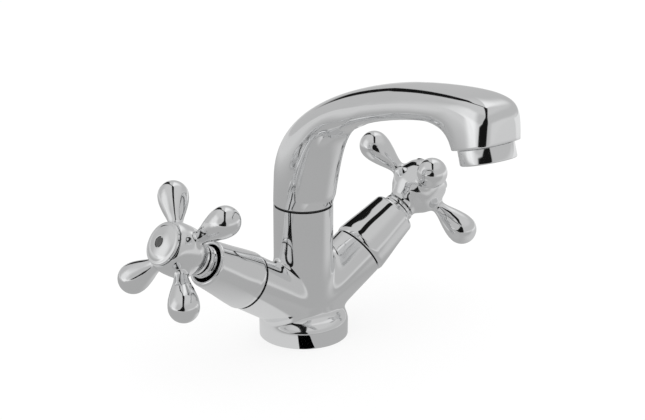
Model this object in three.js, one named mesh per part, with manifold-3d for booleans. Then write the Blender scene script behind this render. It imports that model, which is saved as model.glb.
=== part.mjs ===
// A two-handle basin mixer: a V-shaped cast body on a round foot, a swivelling
// hooked spout with an aerator, and a quarter-turn ceramic headwork, shroud and
// four-armed cross handle on each side.
//
// Millimetres, +Z up. The origin is the centre of the foot's underside. The spout
// points to -Y. The hot side is at -X and the cold side at +X.

import * as THREE from 'three';
import { mergeVertices } from 'three/addons/utils/BufferGeometryUtils.js';
import Module from 'manifold-3d';

const wasm = await Module();
wasm.setup();

// ---------------------------------------------------------------- driving sizes

const CLEAR = 0.3; // gap between neighbouring pieces

// foot, column and arms of the cast body
const FOOT_RADIUS = 24;
const FOOT_WALL = 8;
const COLUMN_RADIUS = 16;
const COLUMN_TOP = 74;
const ARM_TILT = 33; // degrees above horizontal
const ARM_ORIGIN_Z = 14.5; // height where the two arm axes cross
const ARM_LENGTH = 43.7;
const ARM_RADIUS = 15.1;

// underside: gasket groove, hose inlets, fixing stud
const GASKET_RIM = 1.8; // metal left outside the gasket's groove
const GASKET_WIDTH = 2.6;
const GASKET_HEIGHT = 1.2;
const INLET_RADIUS = 4.6;
const INLET_OFFSET = 11.5;
const INLET_DEPTH = 21;
const STUD_HOLE_RADIUS = 3.4;
const STUD_HOLE_OFFSET = 11;
const STUD_HOLE_DEPTH = 11;

// valve chamber, measured along the arm axis from where the axes cross
const CHAMBER_RADIUS = 10.7;
const CHAMBER_FLOOR = 18;
const SEAT_BORE_RADIUS = 4.5;
const CROSS_BORE_RADIUS = 3.8;
const CROSS_BORE_Z = 33;

// swivel joint in the column
const SOCKET_RADIUS = 11;
const SOCKET_FLOOR = 46;
const MIXING_BORE_RADIUS = 7.5;
const MIXING_BORE_FLOOR = 27;
const SLIDE_RING_HEIGHT = 0.6;
const SLIDE_RING_SETBACK = 0.7; // inside the column's skin
const SPIGOT_LENGTH_BELOW = 23; // below the column's top face
const SPIGOT_THREAD_STEP = 0.7; // how much slimmer the spigot's thread is
const SPIGOT_THREAD_LENGTH = 12;
const SPIGOT_WALL = 3.5;
const SPIGOT_SEALS = [5.5, 17.5]; // depth of each seal's centre below the column's top
const LOCK_GROOVE = 11.5; // depth of the locking groove's centre
const LOCK_GROOVE_WIDTH = 4.4;
const LOCK_GROOVE_DEPTH = 1.7;
const LOCK_SCREW_RADIUS = 1.9;
const LOCK_SOCKET_RADIUS = 0.9;
const CORD = 1.0; // radius of the O-rings' cord
const SEAL_FIT = 0.05; // air between a modelled O-ring and what it seals against

// spout, in its own plane: reach forward of the column's axis, and height above its top.
// A station's rise is its slope in degrees; before and after are how firmly the curve
// holds that slope on either side.
const SPOUT_BACK_TOP = 16; // where the collar's straight back ends
const SPOUT_CROWN = { reach: 90, height: 88.6, rise: 12.2, before: 33, after: 20 };
const SPOUT_NOSE = { reach: 141.7, height: 95.2, rise: -1.5, before: 11, after: 15.4 };
const SPOUT_COLLAR_LEAN = 3; // how far the collar's front leans out
const SPOUT_COLLAR_FRONT = 6; // height of that lean
const SPOUT_THROAT = { reach: 38.8, height: 51, rise: 30.6, before: 11, after: 28 };
const SPOUT_HOOK = { reach: 111, height: 75.2, rise: 0, before: 6, after: 8 };
const SPOUT_BEND_PULL = 40; // how long the bend keeps the collar's direction
const OUTLET_REACH = 143.2;
const OUTLET_RISE = 71.2; // outlet's centre above the column's top
const OUTLET_TILT = 17.6; // degrees that the stream leans forward
const OUTLET_HALF = 14.6; // half size of the outlet end
const SPOUT_BEND_HALF_WIDTH = 13.1;
const SPOUT_ARM_HALF_WIDTH = 13.6;
const SPOUT_NOSE_HALF_WIDTH = 14.3;
const SPOUT_ARM_SQUARENESS = 2.6; // superellipse exponent, 2 is an ellipse
const SPOUT_NOSE_SQUARENESS = 3;
const WATERWAY_RADIUS = 5;

// aerator, in the outlet's own frame
const AERATOR_BORE = 11.9;
const AERATOR_BORE_DEPTH = 9.6;
const AERATOR_RING_STEP = 1.7; // how far the ring stands out past the bore
const AERATOR_RING_HEIGHT = 7.6;
const AERATOR_THREAD_LENGTH = 6.8;
const AERATOR_WALL = 1.1;
const AERATOR_LIP = 1.4;
const AERATOR_HOLES = 6;
const AERATOR_HOLE_RADIUS = 1.6;

// headwork, shroud and handle: places along the arm axis, outwards from the arm's end
const HEADWORK_FLANGE = 2.4;
const HEADWORK_WASHER = 1.2;
const HEADWORK_HEX = 12.2; // radius over the corners
const HEADWORK_HEX_END = ARM_LENGTH + 11.3;
const BONNET_RADIUS = 8.8;
const BONNET_END = ARM_LENGTH + 35.8;
const CARTRIDGE_BORE = 7.4;
const CARTRIDGE_DEPTH = 13;
const CARTRIDGE_PLAY = 0.5; // between the cartridge's bore and what turns in it
const SPINDLE_RADIUS = 3.9;
const SPLINE_STEP = 0.5; // how much slimmer the spline is
const SPINDLE_END = ARM_LENGTH + 48.3;
const SPINDLE_TAP_RADIUS = 1.4; // threaded hole for the handle's screw
const SPINDLE_TAP_DEPTH = 7;
const CLIP_LIFT = 1; // above the bonnet's end
const CLIP_REACH = 2.2;
const CLIP_THICKNESS = 0.7;
const DISC_HEIGHT = 2.6;
const DISC_PORT_RADIUS = 1.9;
const SEAT_SEAL_HEIGHT = 2.2;
const SHROUD_MOUTH = ARM_LENGTH + 31.3;
const SHROUD_MOUTH_RADIUS = 12.6;
const SHROUD_OPENING = 10.2; // radius inside the lip
const SHROUD_WALL = 2;
const HANDLE_BACK = ARM_LENGTH + 36.8;
const HANDLE_PLANE = ARM_LENGTH + 51.2; // where the four arms lie
const HUB_RADIUS = 14;
const HUB_FRONT = ARM_LENGTH + 60.9;
const HUB_BACK_RADIUS = 8.4;
const CAP_SETBACK = 2.4; // how much narrower the cap is than the hub
const CAP_FRONT = ARM_LENGTH + 65.3;
const CAP_PLUG_STEP = 3; // how much slimmer the cap's plug is
const CAP_POCKET = ARM_LENGTH + 54.3;
const KNOB_REACH = 33.7;
const KNOB_RADIUS = 8.2;
const HANDLE_ARM_RADIUS = 3.6;
const HANDLE_ARMS = 4;
const HANDLE_TURN = { hot: 45, cold: 50 }; // rest angle of the first arm, degrees
const INDEX_RADIUS = 2.6;

// facets
const SMALL = 8;
const COARSE = 12;
const ROUND = 20;
const FINE = 28;

// ---------------------------------------------------------------- helpers

const rad = THREE.MathUtils.degToRad;

function finish(color, roughness, metalness) {
  return new THREE.MeshStandardMaterial({ color, roughness, metalness });
}

const CHROME = finish(0xd9dbde, 0.06, 1);
const BRASS = finish(0xb8964e, 0.32, 1);
const STEEL = finish(0xa9abad, 0.28, 1);
const RUBBER = finish(0x18181a, 0.8, 0);
const CERAMIC = finish(0xf0eee8, 0.25, 0);
const PLASTIC = finish(0xe6e6e2, 0.45, 0);
const DARK_PLASTIC = finish(0x2c2c2e, 0.5, 0);
const ENAMEL = finish(0x333336, 0.35, 0);

// A closed geometry with its vertices merged and its flat triangles dropped.
function closed(geometry) {
  const source = geometry.clone();
  source.deleteAttribute('normal');
  source.deleteAttribute('uv');
  const merged = mergeVertices(source, 1e-4);
  const old = merged.index.array;
  const kept = [];
  for (let i = 0; i < old.length; i += 3) {
    const [a, b, c] = [old[i], old[i + 1], old[i + 2]];
    if (a !== b && b !== c && c !== a) kept.push(a, b, c);
  }
  merged.setIndex(kept);
  return merged;
}

function solid(geometry) {
  const merged = closed(geometry);
  return new wasm.Manifold(
    new wasm.Mesh({
      numProp: 3,
      vertProperties: new Float32Array(merged.attributes.position.array),
      triVerts: new Uint32Array(merged.index.array),
    }),
  );
}

function geometryOf(manifold) {
  const { vertProperties, triVerts } = manifold.getMesh();
  const geometry = new THREE.BufferGeometry();
  geometry.setAttribute('position', new THREE.BufferAttribute(vertProperties, 3));
  geometry.setIndex(new THREE.BufferAttribute(triVerts, 1));
  return geometry;
}

function named(name, shape, material) {
  const geometry = shape.isBufferGeometry ? closed(shape) : geometryOf(shape);
  geometry.computeVertexNormals();
  const mesh = new THREE.Mesh(geometry, material);
  mesh.name = name;
  return mesh;
}

// Turns a profile of [radius, height] pairs about the Z axis. The profile runs
// anticlockwise with the radius to the right and the height up.
function turned(profile, segments = ROUND) {
  const points = profile.map(([r, z]) => new THREE.Vector2(r, z));
  return new THREE.LatheGeometry(points, segments).rotateX(Math.PI / 2);
}

// A ring or a tube between two radii and two heights.
function sleeve(inner, outer, low, high, segments = ROUND) {
  const profile = [[inner, low], [outer, low], [outer, high], [inner, high], [inner, low]];
  return turned(profile, segments);
}

function rod(radius, low, high, segments = ROUND) {
  return turned([[0, low], [radius, low], [radius, high], [0, high]], segments);
}

function oRing(radius, height, cord = CORD, segments = ROUND) {
  return new THREE.TorusGeometry(radius, cord, 6, segments).translate(0, 0, height);
}

// Places a geometry that was made along Z so that its axis runs along a direction.
function along(geometry, direction, origin) {
  const up = new THREE.Vector3(0, 0, 1);
  const turn = new THREE.Quaternion().setFromUnitVectors(up, direction.clone().normalize());
  return geometry.applyQuaternion(turn).translate(origin.x, origin.y, origin.z);
}

// ---------------------------------------------------------------- sizes that follow

const GASKET_OUTER = FOOT_RADIUS - GASKET_RIM;
const GASKET_INNER = GASKET_OUTER - GASKET_WIDTH;
const SLIDE_RING_OUTER = COLUMN_RADIUS - SLIDE_RING_SETBACK;
const SPIGOT_RADIUS = SOCKET_RADIUS - CLEAR;
const SPIGOT_THREAD_RADIUS = SPIGOT_RADIUS - SPIGOT_THREAD_STEP;
const SPIGOT_BORE = SPIGOT_RADIUS - SPIGOT_WALL;
const AERATOR_RING_RADIUS = AERATOR_BORE + AERATOR_RING_STEP;
const HEADWORK_THREAD_RADIUS = CHAMBER_RADIUS - CLEAR;
const DISC_RADIUS = CARTRIDGE_BORE - CARTRIDGE_PLAY;
const SPLINE_RADIUS = SPINDLE_RADIUS - SPLINE_STEP;
const CAP_RADIUS = HUB_RADIUS - CAP_SETBACK;
const CAP_PLUG_RADIUS = CAP_RADIUS - CAP_PLUG_STEP;
const OUTLET_HEIGHT = COLUMN_TOP + OUTLET_RISE;

// ---------------------------------------------------------------- shared places

const SIDES = { hot: -1, cold: 1 };
const ARM_ORIGIN = new THREE.Vector3(0, 0, ARM_ORIGIN_Z);
const SLIDE_RING_LOW = COLUMN_TOP + CLEAR;
const SPOUT_BOTTOM = SLIDE_RING_LOW + SLIDE_RING_HEIGHT + CLEAR;

function armDirection(side) {
  return new THREE.Vector3(side * Math.cos(rad(ARM_TILT)), 0, Math.sin(rad(ARM_TILT)));
}

// ---------------------------------------------------------------- cast body

function footShape() {
  const shoulder = FOOT_RADIUS - 5;
  const neck = FOOT_RADIUS - 7.5;
  return turned([
    [0, 0],
    [FOOT_RADIUS, 0],
    [FOOT_RADIUS + 0.2, FOOT_WALL],
    [FOOT_RADIUS - 1, FOOT_WALL + 2.4],
    [FOOT_RADIUS - 3, FOOT_WALL + 4.2],
    [shoulder, FOOT_WALL + 5.4],
    [neck, FOOT_WALL + 7.5],
    [COLUMN_RADIUS, FOOT_WALL + 11],
    [0, FOOT_WALL + 11],
  ], FINE);
}

function castBody() {
  let body = solid(footShape());
  body = body.add(solid(rod(COLUMN_RADIUS, ARM_ORIGIN_Z, COLUMN_TOP, FINE)));
  for (const side of Object.values(SIDES)) {
    const arm = rod(ARM_RADIUS, 0, ARM_LENGTH, FINE);
    body = body.add(solid(along(arm, armDirection(side), ARM_ORIGIN)));
  }
  for (const side of Object.values(SIDES)) {
    const chamber = turned([
      [0, INLET_OFFSET],
      [SEAT_BORE_RADIUS, INLET_OFFSET],
      [SEAT_BORE_RADIUS, CHAMBER_FLOOR],
      [CHAMBER_RADIUS, CHAMBER_FLOOR],
      [CHAMBER_RADIUS, ARM_LENGTH + 1],
      [0, ARM_LENGTH + 1],
    ]);
    body = body.subtract(solid(along(chamber, armDirection(side), ARM_ORIGIN)));
    const inlet = rod(INLET_RADIUS, -1, INLET_DEPTH, COARSE).translate(side * INLET_OFFSET, 0, 0);
    body = body.subtract(solid(inlet));
  }
  const crossReach = COLUMN_RADIUS + 1;
  const cross = rod(CROSS_BORE_RADIUS, -crossReach, crossReach, COARSE).rotateY(Math.PI / 2);
  body = body.subtract(solid(cross.translate(0, 0, CROSS_BORE_Z)));
  const socket = turned([
    [0, MIXING_BORE_FLOOR],
    [MIXING_BORE_RADIUS, MIXING_BORE_FLOOR],
    [MIXING_BORE_RADIUS, SOCKET_FLOOR],
    [SOCKET_RADIUS, SOCKET_FLOOR],
    [SOCKET_RADIUS, COLUMN_TOP + 1],
    [0, COLUMN_TOP + 1],
  ]);
  body = body.subtract(solid(socket));
  const groove = sleeve(
    GASKET_INNER - CLEAR, GASKET_OUTER + CLEAR, -1, GASKET_HEIGHT + CLEAR, FINE);
  body = body.subtract(solid(groove));
  const stud = rod(STUD_HOLE_RADIUS, -1, STUD_HOLE_DEPTH, COARSE);
  body = body.subtract(solid(stud.translate(0, STUD_HOLE_OFFSET, 0)));
  const screwHole = rod(LOCK_SCREW_RADIUS + CLEAR, 0, COLUMN_RADIUS + 1, COARSE)
    .rotateX(-Math.PI / 2).translate(0, 0, COLUMN_TOP - LOCK_GROOVE);
  return body.subtract(solid(screwHole));
}

function baseGasket() {
  return sleeve(GASKET_INNER, GASKET_OUTER, 0, GASKET_HEIGHT, FINE);
}

// ---------------------------------------------------------------- swivel joint

const LOCK_GROOVE_RADIUS = SPIGOT_RADIUS - LOCK_GROOVE_DEPTH;
const SEAL_GROOVE_RADIUS = SPIGOT_RADIUS - 2 * CORD - CLEAR + 2 * SEAL_FIT;
// The seals turn inside a socket with flat facets, so they stay within its flats.
const SOCKET_FLATS = SOCKET_RADIUS * Math.cos(Math.PI / ROUND);
const SEAL_RADIUS = SOCKET_FLATS - CORD - SEAL_FIT;

// A rectangular groove in a spigot, as the profile points from its low to its high edge.
function grooveAt(height, width, floor) {
  const [low, high] = [height - width / 2, height + width / 2];
  return [[SPIGOT_RADIUS, low], [floor, low], [floor, high], [SPIGOT_RADIUS, high]];
}

function spoutSpigot() {
  const bottom = COLUMN_TOP - SPIGOT_LENGTH_BELOW;
  const shoulder = SPOUT_BOTTOM - 0.1;
  const top = SPOUT_BOTTOM + SPIGOT_THREAD_LENGTH;
  const sealWidth = 2 * CORD + 2 * CLEAR;
  const [upper, lower] = SPIGOT_SEALS.map((depth) => COLUMN_TOP - depth);
  return turned([
    [SPIGOT_BORE, bottom],
    [SPIGOT_RADIUS - 0.8, bottom],
    [SPIGOT_RADIUS, bottom + 0.8],
    ...grooveAt(lower, sealWidth, SEAL_GROOVE_RADIUS),
    ...grooveAt(COLUMN_TOP - LOCK_GROOVE, LOCK_GROOVE_WIDTH, LOCK_GROOVE_RADIUS),
    ...grooveAt(upper, sealWidth, SEAL_GROOVE_RADIUS),
    [SPIGOT_RADIUS, shoulder],
    [SPIGOT_THREAD_RADIUS, shoulder],
    [SPIGOT_THREAD_RADIUS, top],
    [SPIGOT_BORE, top],
    [SPIGOT_BORE, bottom],
  ]);
}

function slideRing() {
  const high = SLIDE_RING_LOW + SLIDE_RING_HEIGHT;
  return sleeve(SOCKET_RADIUS, SLIDE_RING_OUTER, SLIDE_RING_LOW, high, ROUND);
}

function lockScrew() {
  const socketFloor = COLUMN_RADIUS - 1.8;
  const tip = LOCK_GROOVE_RADIUS + CLEAR;
  const screw = turned([
    [0, tip],
    [LOCK_SCREW_RADIUS - 0.5, tip],
    [LOCK_SCREW_RADIUS, tip + 0.6],
    [LOCK_SCREW_RADIUS, COLUMN_RADIUS - 0.4],
    [LOCK_SOCKET_RADIUS, COLUMN_RADIUS - 0.4],
    [LOCK_SOCKET_RADIUS, socketFloor],
    [0, socketFloor],
  ], COARSE);
  return screw.rotateX(-Math.PI / 2).translate(0, 0, COLUMN_TOP - LOCK_GROOVE);
}

// ---------------------------------------------------------------- spout

function vector(reach, height) {
  return new THREE.Vector2(reach, height);
}

// A point some way before (negative) or after a station, along its rise.
function handleOf(station, distance) {
  const slope = rad(station.rise);
  const height = COLUMN_TOP + station.height + distance * Math.sin(slope);
  return vector(station.reach + distance * Math.cos(slope), height);
}

const OUTLET_ALONG = vector(Math.cos(rad(OUTLET_TILT)), Math.sin(rad(OUTLET_TILT)));
const OUTLET_CENTRE = vector(OUTLET_REACH, OUTLET_HEIGHT);

// Four stretches of the spout's outer edge: back, bend, crown, nose.
function outerStretches() {
  const foot = vector(-COLUMN_RADIUS, SPOUT_BOTTOM);
  const back = vector(-COLUMN_RADIUS, COLUMN_TOP + SPOUT_BACK_TOP);
  const crown = handleOf(SPOUT_CROWN, 0);
  const nose = handleOf(SPOUT_NOSE, 0);
  const end = OUTLET_CENTRE.clone().addScaledVector(OUTLET_ALONG, OUTLET_HALF);
  return [
    new THREE.LineCurve(foot, back),
    new THREE.CubicBezierCurve(
      back, vector(back.x, back.y + SPOUT_BEND_PULL),
      handleOf(SPOUT_CROWN, -SPOUT_CROWN.before), crown),
    new THREE.CubicBezierCurve(
      crown, handleOf(SPOUT_CROWN, SPOUT_CROWN.after),
      handleOf(SPOUT_NOSE, -SPOUT_NOSE.before), nose),
    new THREE.CubicBezierCurve(
      nose, handleOf(SPOUT_NOSE, SPOUT_NOSE.after), vector(end.x, end.y + SPOUT_NOSE.after), end),
  ];
}

// The matching stretches of its inner edge: collar, throat, underside, hook.
function innerStretches() {
  const foot = vector(COLUMN_RADIUS, SPOUT_BOTTOM);
  const front = vector(COLUMN_RADIUS + SPOUT_COLLAR_LEAN, COLUMN_TOP + SPOUT_COLLAR_FRONT);
  const throat = handleOf(SPOUT_THROAT, 0);
  const hook = handleOf(SPOUT_HOOK, 0);
  const end = OUTLET_CENTRE.clone().addScaledVector(OUTLET_ALONG, -OUTLET_HALF);
  return [
    new THREE.LineCurve(foot, front),
    new THREE.CubicBezierCurve(
      front, vector(front.x + 3 * SPOUT_COLLAR_LEAN, front.y + SPOUT_BEND_PULL),
      handleOf(SPOUT_THROAT, -SPOUT_THROAT.before), throat),
    new THREE.CubicBezierCurve(
      throat, handleOf(SPOUT_THROAT, SPOUT_THROAT.after),
      handleOf(SPOUT_HOOK, -SPOUT_HOOK.before), hook),
    new THREE.CubicBezierCurve(
      hook, handleOf(SPOUT_HOOK, SPOUT_HOOK.after), vector(end.x - 4, end.y + 7), end),
  ];
}

// Half width and squareness at the end of each stretch.
const HALF_WIDTHS = [
  COLUMN_RADIUS, COLUMN_RADIUS, SPOUT_ARM_HALF_WIDTH, SPOUT_NOSE_HALF_WIDTH, OUTLET_HALF];
const SQUARENESS = [2, 2, SPOUT_ARM_SQUARENESS, SPOUT_NOSE_SQUARENESS, SPOUT_NOSE_SQUARENESS];

// Half width along a stretch, with the narrower bend between collar and arm.
function halfWidth(stretch, t) {
  const ease = t * t * (3 - 2 * t);
  const [from, to] = [HALF_WIDTHS[stretch], HALF_WIDTHS[stretch + 1]];
  const pinch = stretch === 1 ? (from + to) / 2 - SPOUT_BEND_HALF_WIDTH : 0;
  return from + (to - from) * ease - pinch * Math.sin(Math.PI * t) ** 2;
}

function squareness(stretch, t) {
  return SQUARENESS[stretch] + (SQUARENESS[stretch + 1] - SQUARENESS[stretch]) * t;
}

// One section: a superellipse between the outer and the inner edge, anticlockwise
// about the way the spout runs.
function spoutSection(outer, inner, half, power, sides) {
  const centre = outer.clone().add(inner).multiplyScalar(0.5);
  const axis = outer.clone().sub(inner).multiplyScalar(0.5);
  const ring = [];
  for (let i = 0; i < sides; i += 1) {
    const angle = (2 * Math.PI * i) / sides;
    const [c, s] = [Math.cos(angle), Math.sin(angle)];
    const a = Math.sign(c) * Math.abs(c) ** (2 / power);
    const b = Math.sign(s) * Math.abs(s) ** (2 / power);
    const reach = centre.x + axis.x * a;
    ring.push(new THREE.Vector3(-half * b, -reach, centre.y + axis.y * a));
  }
  return ring;
}

// A closed skin through rings of equal count, with flat ends.
function skin(rings) {
  const sides = rings[0].length;
  const positions = [];
  for (const ring of rings) {
    for (const p of ring) positions.push(p.x, p.y, p.z);
  }
  const index = [];
  for (let k = 0; k + 1 < rings.length; k += 1) {
    for (let i = 0; i < sides; i += 1) {
      const j = (i + 1) % sides;
      const [a, b, c, d] = [k * sides + i, k * sides + j, (k + 1) * sides + j, (k + 1) * sides + i];
      index.push(a, b, c, a, c, d);
    }
  }
  const last = (rings.length - 1) * sides;
  for (let i = 1; i + 1 < sides; i += 1) {
    index.push(0, i + 1, i);
    index.push(last, last + i, last + i + 1);
  }
  const geometry = new THREE.BufferGeometry();
  geometry.setAttribute('position', new THREE.Float32BufferAttribute(positions, 3));
  geometry.setIndex(index);
  return geometry;
}

function spoutSkin(stepsPerStretch, sides) {
  const outer = outerStretches();
  const inner = innerStretches();
  const rings = [];
  outer.forEach((curve, stretch) => {
    const steps = stepsPerStretch[stretch];
    const last = stretch === outer.length - 1 ? steps : steps - 1;
    for (let k = 0; k <= last; k += 1) {
      const t = k / steps;
      rings.push(spoutSection(
        curve.getPoint(t), inner[stretch].getPoint(t), halfWidth(stretch, t),
        squareness(stretch, t), sides));
    }
  });
  return skin(rings);
}

// The waterway follows the middle of the sections from the collar to the outlet.
function waterway() {
  const outer = outerStretches();
  const inner = innerStretches();
  const points = [];
  const stations = [[1, 0], [1, 0.25], [1, 0.5], [1, 0.75], [2, 0], [2, 0.3], [2, 0.6], [2, 0.9]];
  for (const [stretch, t] of stations) {
    const middle = outer[stretch].getPoint(t).add(inner[stretch].getPoint(t)).multiplyScalar(0.5);
    points.push(new THREE.Vector3(0, -middle.x, middle.y));
  }
  const up = vector(-OUTLET_ALONG.y, OUTLET_ALONG.x);
  const mouth = OUTLET_CENTRE.clone().addScaledVector(up, AERATOR_BORE_DEPTH - 1);
  points.push(new THREE.Vector3(0, -mouth.x, mouth.y));
  const path = new THREE.CatmullRomCurve3(points);
  const section = new THREE.Shape().absarc(0, 0, WATERWAY_RADIUS, 0, 2 * Math.PI);
  return new THREE.ExtrudeGeometry(section, {
    steps: 16, curveSegments: 4, extrudePath: path, bevelEnabled: false });
}

function outletPlaced(geometry) {
  return geometry.rotateX(-rad(OUTLET_TILT)).translate(0, -OUTLET_REACH, OUTLET_HEIGHT);
}

function castSpout() {
  const socketTop = SPOUT_BOTTOM + SPIGOT_THREAD_LENGTH + CLEAR;
  const socket = rod(SPIGOT_THREAD_RADIUS + CLEAR, SPOUT_BOTTOM - 1, socketTop, ROUND);
  const throat = rod(SPIGOT_BORE, socketTop - 1, COLUMN_TOP + SPOUT_BACK_TOP + 4, ROUND);
  const bore = rod(AERATOR_BORE, -1, AERATOR_BORE_DEPTH, ROUND);
  return solid(spoutSkin([2, 8, 5, 6], FINE - 4))
    .subtract(solid(socket))
    .subtract(solid(throat))
    .subtract(solid(waterway()))
    .subtract(solid(outletPlaced(bore)));
}

// ---------------------------------------------------------------- aerator

const AERATOR_THREAD_RADIUS = AERATOR_BORE - CLEAR;
const AERATOR_INNER = AERATOR_THREAD_RADIUS - AERATOR_WALL;
const AERATOR_BOTTOM = -CLEAR - AERATOR_RING_HEIGHT;

function aeratorHousing() {
  const seat = AERATOR_BOTTOM + AERATOR_LIP;
  return turned([
    [AERATOR_INNER - AERATOR_LIP, AERATOR_BOTTOM],
    [AERATOR_RING_RADIUS - 0.8, AERATOR_BOTTOM],
    [AERATOR_RING_RADIUS, AERATOR_BOTTOM + 0.8],
    [AERATOR_RING_RADIUS, -CLEAR - 0.4],
    [AERATOR_RING_RADIUS - 0.4, -CLEAR],
    [AERATOR_THREAD_RADIUS, -CLEAR],
    [AERATOR_THREAD_RADIUS, AERATOR_THREAD_LENGTH],
    [AERATOR_INNER, AERATOR_THREAD_LENGTH],
    [AERATOR_INNER, seat],
    [AERATOR_INNER - AERATOR_LIP, seat],
    [AERATOR_INNER - AERATOR_LIP, AERATOR_BOTTOM],
  ], FINE);
}

function aeratorCartridge() {
  const radius = AERATOR_INNER - CLEAR;
  const low = AERATOR_BOTTOM + AERATOR_LIP + CLEAR;
  const high = AERATOR_THREAD_LENGTH - 2;
  let cartridge = solid(rod(radius, low, high));
  for (let i = 0; i < AERATOR_HOLES; i += 1) {
    const angle = (2 * Math.PI * i) / AERATOR_HOLES;
    const hole = rod(AERATOR_HOLE_RADIUS, low - 1, high + 1, SMALL);
    const reach = radius * 0.55;
    hole.translate(reach * Math.cos(angle), reach * Math.sin(angle), 0);
    cartridge = cartridge.subtract(solid(hole));
  }
  return geometryOf(cartridge);
}

function aeratorScreen() {
  const radius = AERATOR_INNER - CLEAR;
  const low = AERATOR_THREAD_LENGTH - 2 + CLEAR;
  const rise = 1.6;
  const sheet = 0.5;
  const profile = [];
  for (const share of [0, 0.35, 0.7, 1]) {
    profile.push([radius * share, low + rise * (1 - share * share)]);
  }
  for (const share of [1, 0.7, 0.35, 0]) {
    profile.push([radius * share, low + sheet + rise * (1 - share * share)]);
  }
  return turned(profile);
}

function aeratorWasher() {
  const low = AERATOR_THREAD_LENGTH + CLEAR;
  return sleeve(AERATOR_INNER - 1.2, AERATOR_THREAD_RADIUS, low, AERATOR_BORE_DEPTH - CLEAR);
}

// ---------------------------------------------------------------- headwork

// Heights along the arm axis inside the headwork, from the seat outwards.
const SEAL_LOW = CHAMBER_FLOOR + CLEAR;
const FIXED_DISC_LOW = SEAL_LOW + SEAT_SEAL_HEIGHT + CLEAR;
const MOVING_DISC_LOW = FIXED_DISC_LOW + DISC_HEIGHT + CLEAR;
const SPINDLE_LOW = MOVING_DISC_LOW + DISC_HEIGHT + CLEAR;
const CARTRIDGE_TOP = SEAL_LOW + SEAT_SEAL_HEIGHT + CARTRIDGE_DEPTH;
const WASHER_LOW = ARM_LENGTH + CLEAR;
const WASHER_HIGH = WASHER_LOW + HEADWORK_WASHER;
const FLANGE_LOW = WASHER_HIGH + CLEAR;
const FLANGE_HIGH = FLANGE_LOW + HEADWORK_FLANGE;
const SPINDLE_BORE = SPINDLE_RADIUS + CLEAR;
const SPINDLE_SEAL = CARTRIDGE_TOP + 6;

function headworkBody() {
  const bottom = SEAL_LOW + 0.4;
  const sealWidth = 2 * CORD + 2 * CLEAR;
  const barrel = turned([
    [CARTRIDGE_BORE, bottom],
    [HEADWORK_THREAD_RADIUS, bottom],
    [HEADWORK_THREAD_RADIUS, FLANGE_LOW],
    [HEADWORK_HEX, FLANGE_LOW],
    [HEADWORK_HEX, FLANGE_HIGH],
    [BONNET_RADIUS, FLANGE_HIGH],
    [BONNET_RADIUS, BONNET_END - 0.8],
    [BONNET_RADIUS - 0.8, BONNET_END],
    [SPINDLE_BORE, BONNET_END],
    [SPINDLE_BORE, SPINDLE_SEAL + sealWidth / 2],
    [SPINDLE_BORE + CORD, SPINDLE_SEAL + sealWidth / 2],
    [SPINDLE_BORE + CORD, SPINDLE_SEAL - sealWidth / 2],
    [SPINDLE_BORE, SPINDLE_SEAL - sealWidth / 2],
    [SPINDLE_BORE, CARTRIDGE_TOP],
    [CARTRIDGE_BORE, CARTRIDGE_TOP],
    [CARTRIDGE_BORE, bottom],
  ]);
  const hex = sleeve(SPINDLE_BORE, HEADWORK_HEX, FLANGE_HIGH - 0.5, HEADWORK_HEX_END, 6);
  const core = rod(BONNET_RADIUS - 0.5, FLANGE_HIGH - 2, HEADWORK_HEX_END + 1, COARSE);
  const nut = solid(hex).subtract(solid(core));
  const port = rod(3, -CHAMBER_RADIUS, CHAMBER_RADIUS, COARSE).rotateX(Math.PI / 2)
    .translate(0, 0, MOVING_DISC_LOW + DISC_HEIGHT + 2);
  return solid(barrel).add(nut).subtract(solid(port));
}

function headworkWasher() {
  return sleeve(HEADWORK_THREAD_RADIUS + CLEAR, HEADWORK_HEX, WASHER_LOW, WASHER_HIGH);
}

function spindle() {
  return turned([
    [0, SPINDLE_LOW],
    [DISC_RADIUS, SPINDLE_LOW],
    [DISC_RADIUS, SPINDLE_LOW + 1.8],
    [SPINDLE_RADIUS, SPINDLE_LOW + 1.8],
    [SPINDLE_RADIUS, BONNET_END + 1],
    [SPLINE_RADIUS, BONNET_END + 1],
    [SPLINE_RADIUS, SPINDLE_END],
    [SPINDLE_TAP_RADIUS, SPINDLE_END],
    [SPINDLE_TAP_RADIUS, SPINDLE_END - SPINDLE_TAP_DEPTH],
    [0, SPINDLE_END - SPINDLE_TAP_DEPTH],
  ]);
}

function spindleSeal() {
  const cord = (SPINDLE_BORE + CORD - SPINDLE_RADIUS) / 2 - SEAL_FIT;
  return oRing(SPINDLE_RADIUS + SEAL_FIT + cord, SPINDLE_SEAL, cord);
}

function spindleClip() {
  const low = BONNET_END + CLEAR + CLIP_LIFT;
  return sleeve(SPLINE_RADIUS + CLEAR, SPLINE_RADIUS + CLIP_REACH, low, low + CLIP_THICKNESS);
}

// A ceramic disc with two ports on opposite sides of its centre.
function ceramicDisc(low, quarterTurn) {
  let disc = solid(rod(DISC_RADIUS, low, low + DISC_HEIGHT));
  for (const sign of [-1, 1]) {
    const port = rod(DISC_PORT_RADIUS, low - 1, low + DISC_HEIGHT + 1, COARSE);
    port.translate(sign * DISC_RADIUS * 0.52, 0, 0).rotateZ(quarterTurn);
    disc = disc.subtract(solid(port));
  }
  return geometryOf(disc);
}

function seatSeal() {
  return sleeve(SEAT_BORE_RADIUS + CLEAR, DISC_RADIUS, SEAL_LOW, SEAL_LOW + SEAT_SEAL_HEIGHT);
}

// ---------------------------------------------------------------- shroud

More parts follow.
